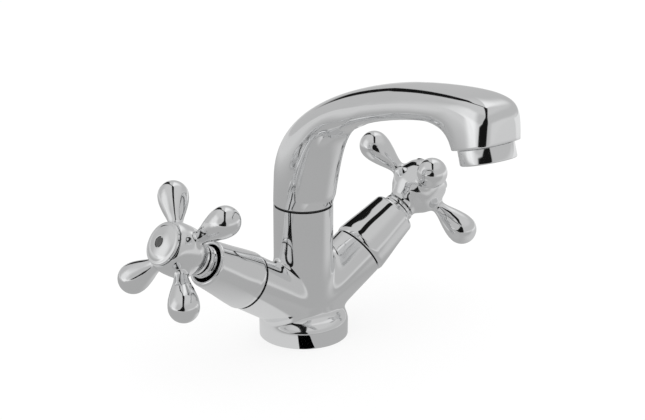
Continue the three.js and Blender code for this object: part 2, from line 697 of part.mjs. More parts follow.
function shroud() {
  const low = ARM_LENGTH + 1;
  const [foot, mouth] = [ARM_RADIUS, SHROUD_MOUTH_RADIUS];
  const length = SHROUD_MOUTH - low;
  const bead = 0.6;
  const lip = 1.2;
  return turned([
    [foot - SHROUD_WALL, low],
    [foot - 0.4, low],
    [foot + bead * 0.6, low + 0.8],
    [foot + bead, low + 2.2],
    [foot + bead * 0.7, low + 4.4],
    [foot - 0.1, low + length * 0.3],
    [foot - (foot - mouth) * 0.55, low + length * 0.6],
    [mouth, SHROUD_MOUTH - lip],
    [mouth - 0.4, SHROUD_MOUTH - 0.4],
    [mouth - lip, SHROUD_MOUTH],
    [SHROUD_OPENING + 0.5, SHROUD_MOUTH - 0.2],
    [SHROUD_OPENING, SHROUD_MOUTH - 0.8],
    [SHROUD_OPENING, SHROUD_MOUTH - 3],
    [mouth - SHROUD_WALL, HEADWORK_HEX_END + 6],
    [foot - SHROUD_WALL, HEADWORK_HEX_END],
    [foot - SHROUD_WALL, low],
  ], FINE);
}

// ---------------------------------------------------------------- cross handle

function hubShape() {
  const rise = HANDLE_PLANE - HANDLE_BACK;
  return turned([
    [0, HANDLE_BACK],
    [HUB_BACK_RADIUS - 0.6, HANDLE_BACK],
    [HUB_BACK_RADIUS, HANDLE_BACK + 0.6],
    [HUB_BACK_RADIUS + 0.4, HANDLE_BACK + rise * 0.15],
    [HUB_BACK_RADIUS + 2.6, HANDLE_BACK + rise * 0.33],
    [HUB_RADIUS - 1.2, HANDLE_BACK + rise * 0.5],
    [HUB_RADIUS - 0.2, HANDLE_BACK + rise * 0.68],
    [HUB_RADIUS, HANDLE_PLANE],
    [HUB_RADIUS - 0.1, HANDLE_PLANE + 4],
    [HUB_RADIUS - 0.6, HUB_FRONT - 2.6],
    [HUB_RADIUS - 1.2, HUB_FRONT - 0.9],
    [HUB_RADIUS - 2, HUB_FRONT],
    [0, HUB_FRONT],
  ]);
}

// One arm of the cross: a club that swells from its neck to a round knob.
function clubShape() {
  const swell = KNOB_RADIUS - HANDLE_ARM_RADIUS;
  const profile = [
    [0, HUB_RADIUS - 6],
    [HANDLE_ARM_RADIUS + 0.4, HUB_RADIUS - 6],
    [HANDLE_ARM_RADIUS, HUB_RADIUS + 1.5],
    [HANDLE_ARM_RADIUS + swell * 0.22, KNOB_REACH - 14.5],
    [HANDLE_ARM_RADIUS + swell * 0.6, KNOB_REACH - 9],
    [HANDLE_ARM_RADIUS + swell * 0.9, KNOB_REACH - 4],
  ];
  for (const angle of [0, 25, 50, 72, 90]) {
    const r = KNOB_RADIUS * Math.cos(rad(angle));
    profile.push([angle === 90 ? 0 : r, KNOB_REACH + KNOB_RADIUS * Math.sin(rad(angle))]);
  }
  return turned(profile, COARSE);
}

function crossHandle(restAngle) {
  let handle = solid(hubShape());
  for (let i = 0; i < HANDLE_ARMS; i += 1) {
    const club = clubShape().rotateY(Math.PI / 2).translate(0, 0, HANDLE_PLANE);
    club.rotateZ(rad(restAngle) + (2 * Math.PI * i) / HANDLE_ARMS);
    handle = handle.add(solid(club));
  }
  const pocket = turned([
    [0, HANDLE_BACK - 1],
    [SPINDLE_RADIUS + 2.2, HANDLE_BACK - 1],
    [SPINDLE_RADIUS + 2.2, HANDLE_BACK + 3],
    [SPLINE_RADIUS + CLEAR, HANDLE_BACK + 3],
    [SPLINE_RADIUS + CLEAR, SPINDLE_END + CLEAR],
    [2.2, SPINDLE_END + CLEAR],
    [2.2, CAP_POCKET],
    [CAP_PLUG_RADIUS + CLEAR, CAP_POCKET],
    [CAP_PLUG_RADIUS + CLEAR, HUB_FRONT + 1],
    [0, HUB_FRONT + 1],
  ]);
  return handle.subtract(solid(pocket));
}

function handleScrew() {
  const headLow = CAP_POCKET + CLEAR;
  const head = 2.4;
  return turned([
    [0, SPINDLE_END - 6],
    [1.1, SPINDLE_END - 6],
    [1.1, SPINDLE_END + CLEAR],
    [1.8, SPINDLE_END + CLEAR],
    [1.8, headLow],
    [3.6, headLow],
    [3.6, headLow + head * 0.6],
    [3, headLow + head],
    [1.2, headLow + head],
    [1.2, headLow + head - 1],
    [0, headLow + head - 1],
  ], COARSE);
}

function indexCap() {
  const seat = HUB_FRONT + CLEAR;
  const rise = CAP_FRONT - seat;
  return turned([
    [0, CAP_POCKET + 4.2],
    [CAP_PLUG_RADIUS - 1.4, CAP_POCKET + 4.2],
    [CAP_PLUG_RADIUS - 1.4, CAP_POCKET + 1.5],
    [CAP_PLUG_RADIUS, CAP_POCKET + 1.5],
    [CAP_PLUG_RADIUS, seat],
    [CAP_RADIUS - 0.5, seat],
    [CAP_RADIUS, seat + 0.5],
    [CAP_RADIUS, seat + rise * 0.28],
    [CAP_RADIUS - 0.8, seat + rise * 0.48],
    [CAP_RADIUS - 3.4, seat + rise * 0.76],
    [INDEX_RADIUS + 2.4, seat + rise * 0.95],
    [INDEX_RADIUS + CLEAR, CAP_FRONT - 0.1],
    [INDEX_RADIUS + CLEAR, CAP_FRONT - 1.3],
    [0, CAP_FRONT - 1.3],
  ]);
}

function indexMark() {
  return turned([
    [0, CAP_FRONT - 1],
    [INDEX_RADIUS, CAP_FRONT - 1],
    [INDEX_RADIUS, CAP_FRONT - 0.3],
    [INDEX_RADIUS * 0.6, CAP_FRONT + 0.1],
    [0, CAP_FRONT + 0.2],
  ], COARSE);
}

// ---------------------------------------------------------------- assembly

// Everything that sits on one arm's axis. The group's +Z runs outwards along it.
function valveGroup(sideName, side) {
  const group = new THREE.Group();
  group.position.copy(ARM_ORIGIN);
  group.rotation.y = side * rad(90 - ARM_TILT);
  group.add(
    named(`${sideName}_seat_seal`, seatSeal(), RUBBER),
    named(`${sideName}_fixed_disc`, ceramicDisc(FIXED_DISC_LOW, 0), CERAMIC),
    named(`${sideName}_moving_disc`, ceramicDisc(MOVING_DISC_LOW, Math.PI / 2), CERAMIC),
    named(`${sideName}_headwork_body`, headworkBody(), CHROME),
    named(`${sideName}_headwork_washer`, headworkWasher(), RUBBER),
    named(`${sideName}_spindle`, spindle(), BRASS),
    named(`${sideName}_spindle_seal`, spindleSeal(), RUBBER),
    named(`${sideName}_spindle_clip`, spindleClip(), STEEL),
    named(`${sideName}_shroud`, shroud(), CHROME),
    named(`${sideName}_handle`, crossHandle(HANDLE_TURN[sideName]), CHROME),
    named(`${sideName}_handle_screw`, handleScrew(), STEEL),
    named(`${sideName}_index_cap`, indexCap(), CHROME),
    named(`${sideName}_index_mark`, indexMark(), ENAMEL),
  );
  return group;
}

function aeratorGroup() {
  const group = new THREE.Group();
  group.position.set(0, -OUTLET_REACH, OUTLET_HEIGHT);
  group.rotation.x = -rad(OUTLET_TILT);
  group.add(
    named('aerator_housing', aeratorHousing(), CHROME),
    named('aerator_cartridge', aeratorCartridge(), PLASTIC),
    named('aerator_screen', aeratorScreen(), STEEL),
    named('aerator_washer', aeratorWasher(), RUBBER),
  );
  return group;
}

const faucet = new THREE.Group();
faucet.add(
  named('mixer_body', castBody(), CHROME),
  named('base_gasket', baseGasket(), RUBBER),
  named('spout_slide_ring', slideRing(), DARK_PLASTIC),
  named('spout_lock_screw', lockScrew(), STEEL),
  named('spout', castSpout(), CHROME),
  named('spout_spigot', spoutSpigot(), BRASS),
  aeratorGroup(),
);
SPIGOT_SEALS.forEach((depth, i) => {
  const name = ['spigot_seal_upper', 'spigot_seal_lower'][i];
  faucet.add(named(name, oRing(SEAL_RADIUS, COLUMN_TOP - depth), RUBBER));
});
for (const [sideName, side] of Object.entries(SIDES)) {
  faucet.add(valveGroup(sideName, side));
}

export default faucet;
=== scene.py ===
# %% [markdown]
# # A two-handle basin mixer
#
# The mixer is a chromed casting: a round foot, a column, and two arms that lean out
# like a V. A hooked spout swivels on the column, and a cross handle turns on each arm.
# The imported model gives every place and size, so this scene only makes the surfaces
# that are seen: smooth castings, crisp turned edges, and the finish of each metal.

import math

import bmesh
import bpy
import numpy as np
from mathutils import Matrix, Vector
from mathutils.geometry import interpolate_bezier


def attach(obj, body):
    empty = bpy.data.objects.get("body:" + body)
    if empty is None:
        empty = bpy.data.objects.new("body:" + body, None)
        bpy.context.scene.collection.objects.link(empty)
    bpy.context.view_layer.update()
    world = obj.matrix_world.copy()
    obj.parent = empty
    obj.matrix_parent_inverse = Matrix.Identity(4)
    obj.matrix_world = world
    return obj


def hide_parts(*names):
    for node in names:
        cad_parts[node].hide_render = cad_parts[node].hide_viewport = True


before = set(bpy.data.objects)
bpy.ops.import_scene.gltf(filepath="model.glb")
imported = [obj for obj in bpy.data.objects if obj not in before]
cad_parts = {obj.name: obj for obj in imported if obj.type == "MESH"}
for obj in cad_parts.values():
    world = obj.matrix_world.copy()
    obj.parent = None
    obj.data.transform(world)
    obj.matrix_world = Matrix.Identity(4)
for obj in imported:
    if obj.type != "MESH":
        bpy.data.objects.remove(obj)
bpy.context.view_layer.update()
MM = 0.001
scene = bpy.context.scene

# %% [markdown]
# ## The view
#
# The camera looks down a little from the front left, from about a metre away with a long
# lens. A long lens keeps the near handle from looking bigger than the far one. The
# camera's axes are built from an azimuth and an elevation, which is easier to adjust than
# three rotation angles.

# %% Camera
VIEW_AZIMUTH = math.radians(-37.16)
VIEW_ELEVATION = math.radians(20.33)
VIEW_DISTANCE = 1.0677
LENS = 111.25
TARGET = Vector((0, 0, 0.0576))
SHIFT_RIGHT, SHIFT_UP = 0.01028, 0.01207

toward_viewer = Vector((
    math.sin(VIEW_AZIMUTH) * math.cos(VIEW_ELEVATION),
    -math.cos(VIEW_AZIMUTH) * math.cos(VIEW_ELEVATION),
    math.sin(VIEW_ELEVATION),
))
viewer_right = Vector((math.cos(VIEW_AZIMUTH), math.sin(VIEW_AZIMUTH), 0))
viewer_up = toward_viewer.cross(viewer_right)

camera_data = bpy.data.cameras.new("camera")
camera_data.lens = LENS
camera_data.sensor_width = 36
camera = bpy.data.objects.new("camera", camera_data)
scene.collection.objects.link(camera)
turn = Matrix((viewer_right, viewer_up, toward_viewer)).transposed()
place = TARGET + toward_viewer * VIEW_DISTANCE
place += viewer_right * SHIFT_RIGHT + viewer_up * SHIFT_UP
camera.matrix_world = Matrix.Translation(place) @ turn.to_4x4()
scene.camera = camera
scene.view_settings.view_transform = "Standard"
print("camera at", [round(c, 4) for c in place])

# %% [markdown]
# ## Small tools for node trees
#
# Chrome shows nothing of its own, only what stands around it. So the studio matters as
# much as the metal, and both are made of nodes. Two helpers keep those node trees short:
# one adds a node with its values, the other joins maths nodes into a formula.

# %% Node helpers
def add_node(tree, kind, inputs=None, **settings):
    """Adds a node, sets its settings, and fills or links its inputs."""
    node = tree.nodes.new(kind)
    for key, value in settings.items():
        setattr(node, key, value)
    for key, value in (inputs or {}).items():
        if isinstance(value, bpy.types.NodeSocket):
            tree.links.new(value, node.inputs[key])
        else:
            node.inputs[key].default_value = value
    return node


def maths(tree, operation, *values):
    """One maths node; its inputs are numbers or sockets."""
    return add_node(tree, "ShaderNodeMath", dict(enumerate(values)), operation=operation).outputs[0]


def smooth_step(tree, value, low, high):
    """0 below low, 1 above high, and a soft step between them."""
    node = add_node(
        tree, "ShaderNodeMapRange",
        {"Value": value, "From Min": low, "From Max": high},
        interpolation_type="SMOOTHSTEP",
    )
    return node.outputs["Result"]


def band(tree, value, centre, half, soft):
    """1 within half of the centre, falling to 0 over the soft distance."""
    away = maths(tree, "ABSOLUTE", maths(tree, "SUBTRACT", value, centre))
    return without(tree, smooth_step(tree, away, half - soft, half + soft))


def times(tree, *factors):
    """The product of masks or numbers."""
    product = factors[0]
    for factor in factors[1:]:
        product = maths(tree, "MULTIPLY", product, factor)
    return product


def without(tree, mask):
    """The rest of a mask."""
    return maths(tree, "SUBTRACT", 1.0, mask)


def raised(tree, level, mask, amount):
    """A level with an amount added where the mask is 1."""
    return maths(tree, "MULTIPLY_ADD", mask, amount, level)


# %% [markdown]
# ## Studio
#
# The studio is a pale tent, a little lighter overhead and low down on both sides. A dark
# gap runs over the mixer between the lights. That gap draws the thin black lines that make
# metal read as chrome. It swings left behind the mixer, which lays a line along the
# spout's shoulder, and it widens in front, for the broad stripe on the nose.

# %% World
TENT, SOFTBOX, BACKDROP = 0.53, 0.62, 1.05
UPPER_BACK_LIFT, LEFT_LIFT, LOW_LEFT_LIFT, LOW_RIGHT_LIFT = 0.32, 0.3, 0.16, 0.15
GAP_HALF_WIDTH, GAP_DARKNESS, ZENITH_PINCH = 0.11, 0.985, 0.072
GAP_SWING, GAP_FAR_SWING = 0.33, 0.04
FUNNEL_GROWTH, FUNNEL_SHIFT = 0.2, 0.1
MOUTH_GROWTH, MOUTH_SHIFT = 0.11, 0.14

world = bpy.data.worlds.new("studio")
scene.world = world
world.use_nodes = True
tree = world.node_tree
tree.nodes.clear()
direction = add_node(tree, "ShaderNodeTexCoord").outputs["Generated"]
front = Vector((toward_viewer.x, toward_viewer.y, 0)).normalized()


def toward(axis):
    """How far the looked-at direction points along an axis, from -1 to 1."""
    node = add_node(
        tree, "ShaderNodeVectorMath", {0: direction, 1: tuple(axis)}, operation="DOT_PRODUCT")
    return node.outputs["Value"]


height = toward((0, 0, 1))
forward = toward(front)
sideways = toward(viewer_right)
azimuth = maths(tree, "ARCTAN2", sideways, forward)


def azimuth_card(middle, half, soft):
    """A mask for a card that stands round the mixer, in degrees from the viewer."""
    return band(tree, azimuth, math.radians(middle), math.radians(half), math.radians(soft))


# the tent is lighter overhead, at the upper back, and low down on both sides
level = raised(tree, TENT, smooth_step(tree, height, 0.45, 0.8), SOFTBOX - TENT)
upper_back = times(tree, smooth_step(tree, azimuth, math.radians(115), math.radians(160)),
                   smooth_step(tree, height, 0.4, 0.85))
level = raised(tree, level, upper_back, UPPER_BACK_LIFT)
left_card = times(tree, azimuth_card(-80, 22, 14),
                  without(tree, smooth_step(tree, height, 0.45, 0.75)))
level = raised(tree, level, left_card, LEFT_LIFT)
low = without(tree, smooth_step(tree, height, -0.05, 0.1))
level = raised(tree, level, times(tree, azimuth_card(-60, 30, 12), low), LOW_LEFT_LIFT)
level = raised(tree, level, times(tree, azimuth_card(75, 45, 12), low), LOW_RIGHT_LIFT)

# the gap swings left behind the mixer, and in front it widens and shifts low down
behind = maths(tree, "MULTIPLY", forward, -1.0)
ahead_only = smooth_step(tree, forward, 0.1, 0.4)
funnel = times(tree, without(tree, smooth_step(tree, height, 0.0, 0.5)), ahead_only)
mouth = times(tree, without(tree, smooth_step(tree, height, -0.08, 0.08)), ahead_only)
near_zenith = band(tree, behind, 0.34, 0.26, 0.1)
shift = times(tree, smooth_step(tree, behind, -0.05, 0.6), GAP_SWING)
shift = raised(tree, shift, smooth_step(tree, behind, 0.5, 0.9), GAP_FAR_SWING)
shift = raised(tree, shift, mouth, MOUTH_SHIFT)
shift = raised(tree, shift, funnel, FUNNEL_SHIFT)
half = raised(tree, GAP_HALF_WIDTH, funnel, FUNNEL_GROWTH)
half = raised(tree, half, mouth, MOUTH_GROWTH)
half = raised(tree, half, near_zenith, -ZENITH_PINCH)
share = maths(tree, "DIVIDE", maths(tree, "ADD", sideways, shift), half)
dark = times(tree, band(tree, share, 0.0, 1.0, 0.14), maths(
    tree, "MAXIMUM", smooth_step(tree, height, 0.06, 0.16), ahead_only))
level = times(tree, level, without(tree, times(tree, dark, GAP_DARKNESS)))

tent = add_node(tree, "ShaderNodeBackground", {"Color": (1, 1, 1, 1), "Strength": level})
backdrop = add_node(tree, "ShaderNodeBackground", {"Color": (1, 1, 1, 1), "Strength": BACKDROP})
rays = add_node(tree, "ShaderNodeLightPath").outputs
plain = maths(tree, "MAXIMUM", rays["Is Camera Ray"], rays["Is Diffuse Ray"])
shown = add_node(
    tree, "ShaderNodeMixShader", {0: plain, 1: tent.outputs[0], 2: backdrop.outputs[0]})
add_node(tree, "ShaderNodeOutputWorld", {"Surface": shown.outputs[0]})
print("studio nodes:", len(tree.nodes))

# %% [markdown]
# ## Floor
#
# The floor is plain and nearly white. It glows a little by itself, so that only a faint
# shadow shows. Chrome would mirror such a floor as one flat white, which looks like
# paint. A second, unseen sheet is what the metal mirrors instead: light near the foot,
# greyer further out, and light again far off, as a sweep of paper is in a real studio.
# A small unseen card close to the foot puts the dark stripe on it.

# %% Floor and its light
FLOOR_WHITE, FLOOR_SHADED_SHARE = 0.94, 0.22
FLOOR_HEIGHT, SWEEP_HEIGHT, SWEEP_FRONT = -0.0002, -0.0001, 0.42
GLOW_NEAR, GLOW_DIP, GLOW_FAR = 0.66, -0.22, 0.22
FRONT_LEFT_GLOW, BACK_RIGHT_GLOW, FOOT_SHADE = 0.28, 0.16, 0.3
CARD_START, CARD_OFFSET, CARD_WIDTH, CARD_HEIGHT = 0.0242, 0.00235, 0.0088, 0.0072
CARD_TILT_FORWARD, CARD_TILT_LEFT = 0.0045, 0.0023
CARD_SEEN = 0.011  # only metal this near mirrors the card, in metres


def stage_sheet(name, size, height_m, material):
    bm = bmesh.new()
    bmesh.ops.create_grid(bm, x_segments=1, y_segments=1, size=size)
    bmesh.ops.translate(bm, verts=bm.verts, vec=(0, 0, height_m))
    mesh = bpy.data.meshes.new(name)
    bm.to_mesh(mesh)
    bm.free()
    mesh.materials.append(material)
    sheet = bpy.data.objects.new(name, mesh)
    scene.collection.objects.link(sheet)
    return sheet


def hide_but_mirrored(sheet):
    """Leaves a sheet to be seen by mirroring metal only."""
    sheet.visible_camera = False
    sheet.visible_diffuse = False
    sheet.visible_shadow = False


def new_material(name):
    material = bpy.data.materials.new(name)
    material.use_nodes = True
    material.node_tree.nodes.clear()
    return material, material.node_tree


floor_paint, tree = new_material("floor_paint")
floor_face = add_node(tree, "ShaderNodeBsdfDiffuse", {"Color": (FLOOR_WHITE,) * 3 + (1,)})
floor_glow = add_node(tree, "ShaderNodeEmission", {"Color": (1, 1, 1, 1), "Strength": 1.0})
floor_shader = add_node(tree, "ShaderNodeMixShader", {
    0: FLOOR_SHADED_SHARE, 1: floor_glow.outputs[0], 2: floor_face.outputs[0]})
add_node(tree, "ShaderNodeOutputMaterial", {"Surface": floor_shader.outputs[0]})
floor = stage_sheet("floor", 6.0, FLOOR_HEIGHT, floor_paint)
floor.visible_glossy = False

sweep_paper, tree = new_material("sweep_paper")
spot = add_node(tree, "ShaderNodeTexCoord").outputs["Object"]


def along_floor(axis):
    node = add_node(
        tree, "ShaderNodeVectorMath", {0: spot, 1: tuple(axis)}, operation="DOT_PRODUCT")
    return node.outputs["Value"]


ahead = along_floor(front)
across = along_floor(viewer_right)
far = add_node(tree, "ShaderNodeVectorMath", {0: spot}, operation="LENGTH").outputs["Value"]
away_from_foot = smooth_step(tree, far, 0.035, 0.085)
far_off = smooth_step(tree, far, 0.22, 0.6)
front_left = times(
    tree, smooth_step(tree, ahead, 0.02, 0.2), smooth_step(tree, across, -0.25, -0.4))
back_right = times(
    tree, smooth_step(tree, ahead, 0.05, -0.03), smooth_step(tree, across, 0.08, 0.13))
glow = raised(tree, GLOW_NEAR, away_from_foot, GLOW_DIP)
glow = raised(tree, glow, far_off, GLOW_FAR)
glow = raised(tree, glow, front_left, FRONT_LEFT_GLOW)
glow = raised(tree, glow, back_right, BACK_RIGHT_GLOW)
shaded = times(tree, smooth_step(tree, across, -0.002, 0.004), without(tree, away_from_foot))
glow = times(tree, glow, without(tree, times(tree, shaded, FOOT_SHADE)))
paper = add_node(tree, "ShaderNodeEmission", {"Color": (1, 1, 1, 1), "Strength": glow})
clear = add_node(tree, "ShaderNodeBsdfTransparent")
beyond = maths(tree, "GREATER_THAN", ahead, SWEEP_FRONT)
sheet_shader = add_node(
    tree, "ShaderNodeMixShader", {0: beyond, 1: paper.outputs[0], 2: clear.outputs[0]})
add_node(tree, "ShaderNodeOutputMaterial", {"Surface": sheet_shader.outputs[0]})
hide_but_mirrored(stage_sheet("sweep", 1.6, SWEEP_HEIGHT, sweep_paper))

# a small black card stands just in front of the foot and leans away from it
card_paint, tree = new_material("card_paint")
card_face = add_node(tree, "ShaderNodeEmission", {"Color": (0, 0, 0, 1), "Strength": 0.0})
card_clear = add_node(tree, "ShaderNodeBsdfTransparent")
distant = maths(
    tree, "GREATER_THAN", add_node(tree, "ShaderNodeLightPath").outputs["Ray Length"], CARD_SEEN)
card_shader = add_node(tree, "ShaderNodeMixShader", {
    0: distant, 1: card_face.outputs[0], 2: card_clear.outputs[0]})
add_node(tree, "ShaderNodeOutputMaterial", {"Surface": card_shader.outputs[0]})
card = stage_sheet("card", 0.5, 0.0, card_paint)
for vert in card.data.vertices:
    high = 0.5 + vert.co.y
    rightward = CARD_OFFSET + vert.co.x * CARD_WIDTH - CARD_TILT_LEFT * high
    vert.co = (front * (CARD_START + CARD_TILT_FORWARD * high) + viewer_right * rightward
               + Vector((0, 0, CARD_HEIGHT * high)))
hide_but_mirrored(card)

light_data = bpy.data.lights.new("overhead", "SUN")
light_data.angle = math.radians(120)
light_data.energy = 0.5
light = bpy.data.objects.new("overhead", light_data)
light.visible_glossy = False
light.matrix_world = Matrix.Translation((0, 0, 1.5))
scene.collection.objects.link(light)
print("floor and sweep are staged")

# %% [markdown]
# ## Shared effects
#
# Polished metal is never perfect. Its gloss varies with wiping and dried water, and its cast
# surface waves a little under the plating.
# Each of these is a node group with its own inputs, so that several materials can use it
# with different values.

# %% Effect groups
def new_group(name, inputs, output, kind="NodeSocketFloat"):
    """A group with number inputs and one output. Returns the tree and its input node."""
    group = bpy.data.node_groups.new(name, "ShaderNodeTree")
    for label, value in inputs.items():
        socket = group.interface.new_socket(label, in_out="INPUT", socket_type="NodeSocketFloat")
        socket.default_value = value
    group.interface.new_socket(output, in_out="OUTPUT", socket_type=kind)
    return group, group.nodes.new("NodeGroupInput")


def close_group(group, output, socket):
    add_node(group, "NodeGroupOutput", {output: socket})
    return group


def noise(tree, scale, detail=3.0, coordinates=None, roughness=0.5):
    if coordinates is None:
        coordinates = add_node(tree, "ShaderNodeTexCoord").outputs["Object"]
    return add_node(
        tree, "ShaderNodeTexNoise",
        {"Vector": coordinates, "Scale": scale, "Detail": detail, "Roughness": roughness},
    ).outputs["Fac"]


def stretched(tree, scale):
    """Object coordinates scaled unevenly, for marks that run one way."""
    coordinates = add_node(tree, "ShaderNodeTexCoord").outputs["Object"]
    return add_node(tree, "ShaderNodeMapping", {"Vector": coordinates, "Scale": scale}).outputs[0]


def make_polish_haze():
    group, given = new_group(
        "polish_haze", {"Clean": 0.05, "Hazy": 0.12, "Scale": 60.0}, "Roughness")
    cloud = noise(group, given.outputs["Scale"], 4.0)
    wipes = noise(group, 220.0, 2.0, stretched(group, (1.0, 1.0, 0.16)))
    mixed = maths(group, "MULTIPLY_ADD", wipes, 0.35, maths(group, "MULTIPLY", cloud, 0.65))
    share = smooth_step(group, mixed, 0.38, 0.68)
    spread = maths(group, "SUBTRACT", given.outputs["Hazy"], given.outputs["Clean"])
    return close_group(group, "Roughness", maths(
        group, "MULTIPLY_ADD", share, spread, given.outputs["Clean"]))


def make_tone_drift():
    group, given = new_group(
        "tone_drift", {"Low": 0.8, "High": 0.86, "Scale": 35.0, "Warmth": 0.0}, "Color",
        "NodeSocketColor")
    share = noise(group, given.outputs["Scale"], 2.0)
    spread = maths(group, "SUBTRACT", given.outputs["High"], given.outputs["Low"])
    grey = maths(group, "MULTIPLY_ADD", share, spread, given.outputs["Low"])
    warm = maths(group, "MULTIPLY", grey, maths(group, "ADD", 1.0, given.outputs["Warmth"]))
    cool = maths(group, "MULTIPLY", grey, maths(group, "SUBTRACT", 1.0, given.outputs["Warmth"]))
    colour = add_node(group, "ShaderNodeCombineColor", {"Red": warm, "Green": grey, "Blue": cool})
    return close_group(group, "Color", colour.outputs[0])


def make_cast_wave():
    group, given = new_group(
        "cast_wave", {"Scale": 90.0, "Fine": 700.0, "Fine Share": 0.08}, "Height")
    broad = noise(group, given.outputs["Scale"], 1.0)
    fine = noise(group, given.outputs["Fine"], 2.0)
    return close_group(group, "Height", maths(
        group, "MULTIPLY_ADD", fine, given.outputs["Fine Share"], broad))


def make_grain():
    group, given = new_group("grain", {"Scale": 2500.0, "Pits": 900.0}, "Height")
    fine = noise(group, given.outputs["Scale"], 3.0)
    coordinates = add_node(group, "ShaderNodeTexCoord").outputs["Object"]
    pits = add_node(
        group, "ShaderNodeTexVoronoi", {"Vector": coordinates, "Scale": given.outputs["Pits"]})
    return close_group(group, "Height", maths(
        group, "MULTIPLY_ADD", pits.outputs["Distance"], 0.5, fine))


POLISH_HAZE, TONE_DRIFT = make_polish_haze(), make_tone_drift()
CAST_WAVE, GRAIN = make_cast_wave(), make_grain()
print("groups:", [g.name for g in (POLISH_HAZE, TONE_DRIFT, CAST_WAVE, GRAIN)])

# %% [markdown]
# ## Finishes
#
# Every finish is one Principled shader that takes its colour, roughness and bump from the
# groups. Chrome is a bluish-neutral metal with very little roughness. Brass is warmer and
# duller, rubber and plastic are not metals at all, and their fine grain breaks the gloss.

# %% Materials
def use_group(tree, group, **values):
    node = tree.nodes.new("ShaderNodeGroup")
    node.node_tree = group
    for label, value in values.items():
        node.inputs[label.replace("_", " ")].default_value = value
    return node.outputs[0]


def finish_of(name, tone, haze, relief, bump, metal, tint=None, coat=0.0):
    """A material from the shared groups. tone, haze and relief are the groups' values."""
    material, tree = new_material(name)
    colour = use_group(tree, TONE_DRIFT, **tone)
    if tint is not None:
        mix = add_node(tree, "ShaderNodeMix", data_type="RGBA", blend_type="MULTIPLY")
        mix.inputs[0].default_value = 1.0
        tree.links.new(colour, mix.inputs[6])
        mix.inputs[7].default_value = (*tint, 1)
        colour = mix.outputs[2]
    roughness = use_group(tree, POLISH_HAZE, **haze)
    height_group, values = relief
    height = use_group(tree, height_group, **values)
    bumped = add_node(
        tree, "ShaderNodeBump", {"Strength": bump[0], "Distance": bump[1], "Height": height})
    shader = add_node(
        tree, "ShaderNodeBsdfPrincipled",
        {"Base Color": colour, "Roughness": roughness, "Normal": bumped.outputs[0],
         "Metallic": metal, "Coat Weight": coat, "Coat Roughness": 0.1})
    add_node(tree, "ShaderNodeOutputMaterial", {"Surface": shader.outputs[0]})
    return material


CHROME = finish_of(
    "chrome", {"Low": 0.84, "High": 0.9, "Scale": 22.0, "Warmth": -0.006},
    {"Clean": 0.045, "Hazy": 0.1, "Scale": 55.0},
    (CAST_WAVE, {"Scale": 70.0, "Fine": 900.0, "Fine_Share": 0.03}), (0.12, 0.0004), 1.0)
TURNED_CHROME = finish_of(
    "turned_chrome", {"Low": 0.85, "High": 0.9, "Scale": 30.0, "Warmth": -0.006},
    {"Clean": 0.04, "Hazy": 0.085, "Scale": 80.0},
    (CAST_WAVE, {"Scale": 60.0, "Fine": 1200.0, "Fine_Share": 0.02}), (0.05, 0.0003), 1.0)
NICKEL = finish_of(
    "nickel", {"Low": 0.66, "High": 0.74, "Scale": 60.0, "Warmth": 0.02},
    {"Clean": 0.12, "Hazy": 0.24, "Scale": 160.0},
    (CAST_WAVE, {"Scale": 400.0, "Fine": 2600.0, "Fine_Share": 0.3}), (0.2, 0.0001), 1.0)
BRASS = finish_of(
    "brass", {"Low": 0.66, "High": 0.8, "Scale": 90.0},
    {"Clean": 0.2, "Hazy": 0.38, "Scale": 240.0},
    (CAST_WAVE, {"Scale": 500.0, "Fine": 3200.0, "Fine_Share": 0.4}), (0.3, 0.0001), 1.0,
    tint=(1.0, 0.78, 0.42))
STEEL = finish_of(
    "steel", {"Low": 0.55, "High": 0.68, "Scale": 120.0},
    {"Clean": 0.2, "Hazy": 0.34, "Scale": 300.0},
    (CAST_WAVE, {"Scale": 800.0, "Fine": 4200.0, "Fine_Share": 0.4}), (0.25, 0.00008), 1.0)
RUBBER = finish_of(
    "rubber", {"Low": 0.014, "High": 0.026, "Scale": 140.0},
    {"Clean": 0.6, "Hazy": 0.82, "Scale": 200.0},
    (GRAIN, {"Scale": 2600.0, "Pits": 1500.0}), (0.35, 0.00006), 0.0)
CERAMIC = finish_of(
    "ceramic", {"Low": 0.8, "High": 0.88, "Scale": 150.0, "Warmth": 0.02},
    {"Clean": 0.16, "Hazy": 0.28, "Scale": 260.0},
    (GRAIN, {"Scale": 3000.0, "Pits": 2400.0}), (0.1, 0.00003), 0.0)
PLASTIC = finish_of(
    "white_plastic", {"Low": 0.7, "High": 0.78, "Scale": 90.0},
    {"Clean": 0.34, "Hazy": 0.5, "Scale": 220.0},
    (GRAIN, {"Scale": 1800.0, "Pits": 1200.0}), (0.25, 0.00004), 0.0)
# painted shade: this near-black plastic goes on the slide ring and stands for the shadow in the
# joint under the spout
PAINTED_SHADE_PLASTIC = finish_of(
    "dark_plastic", {"Low": 0.02, "High": 0.035, "Scale": 90.0},
    {"Clean": 0.4, "Hazy": 0.55, "Scale": 220.0},
    (GRAIN, {"Scale": 1800.0, "Pits": 1200.0}), (0.25, 0.00004), 0.0)
ENAMEL = finish_of(
    "mark_enamel", {"Low": 0.035, "High": 0.06, "Scale": 400.0},
    {"Clean": 0.18, "Hazy": 0.3, "Scale": 300.0},
    (GRAIN, {"Scale": 1600.0, "Pits": 1100.0}), (0.15, 0.00003), 0.0, coat=0.6)
print("finishes:", [m.name for m in bpy.data.materials if m.use_nodes and m.name != "floor_paint"])

# %% [markdown]
# ## Tools for turned and cast pieces
#
# Most of a mixer is turned on a lathe, and Blender's lathe is the Spin operator: a profile
# of points, swept round an axis. The profile is made of straight runs and smooth curves,
# and the corners between them are rounded with a small bevel of their own, because a real
# edge is never knife sharp and it is the edges that catch the light.

# %% Profiles
AROUND = 112


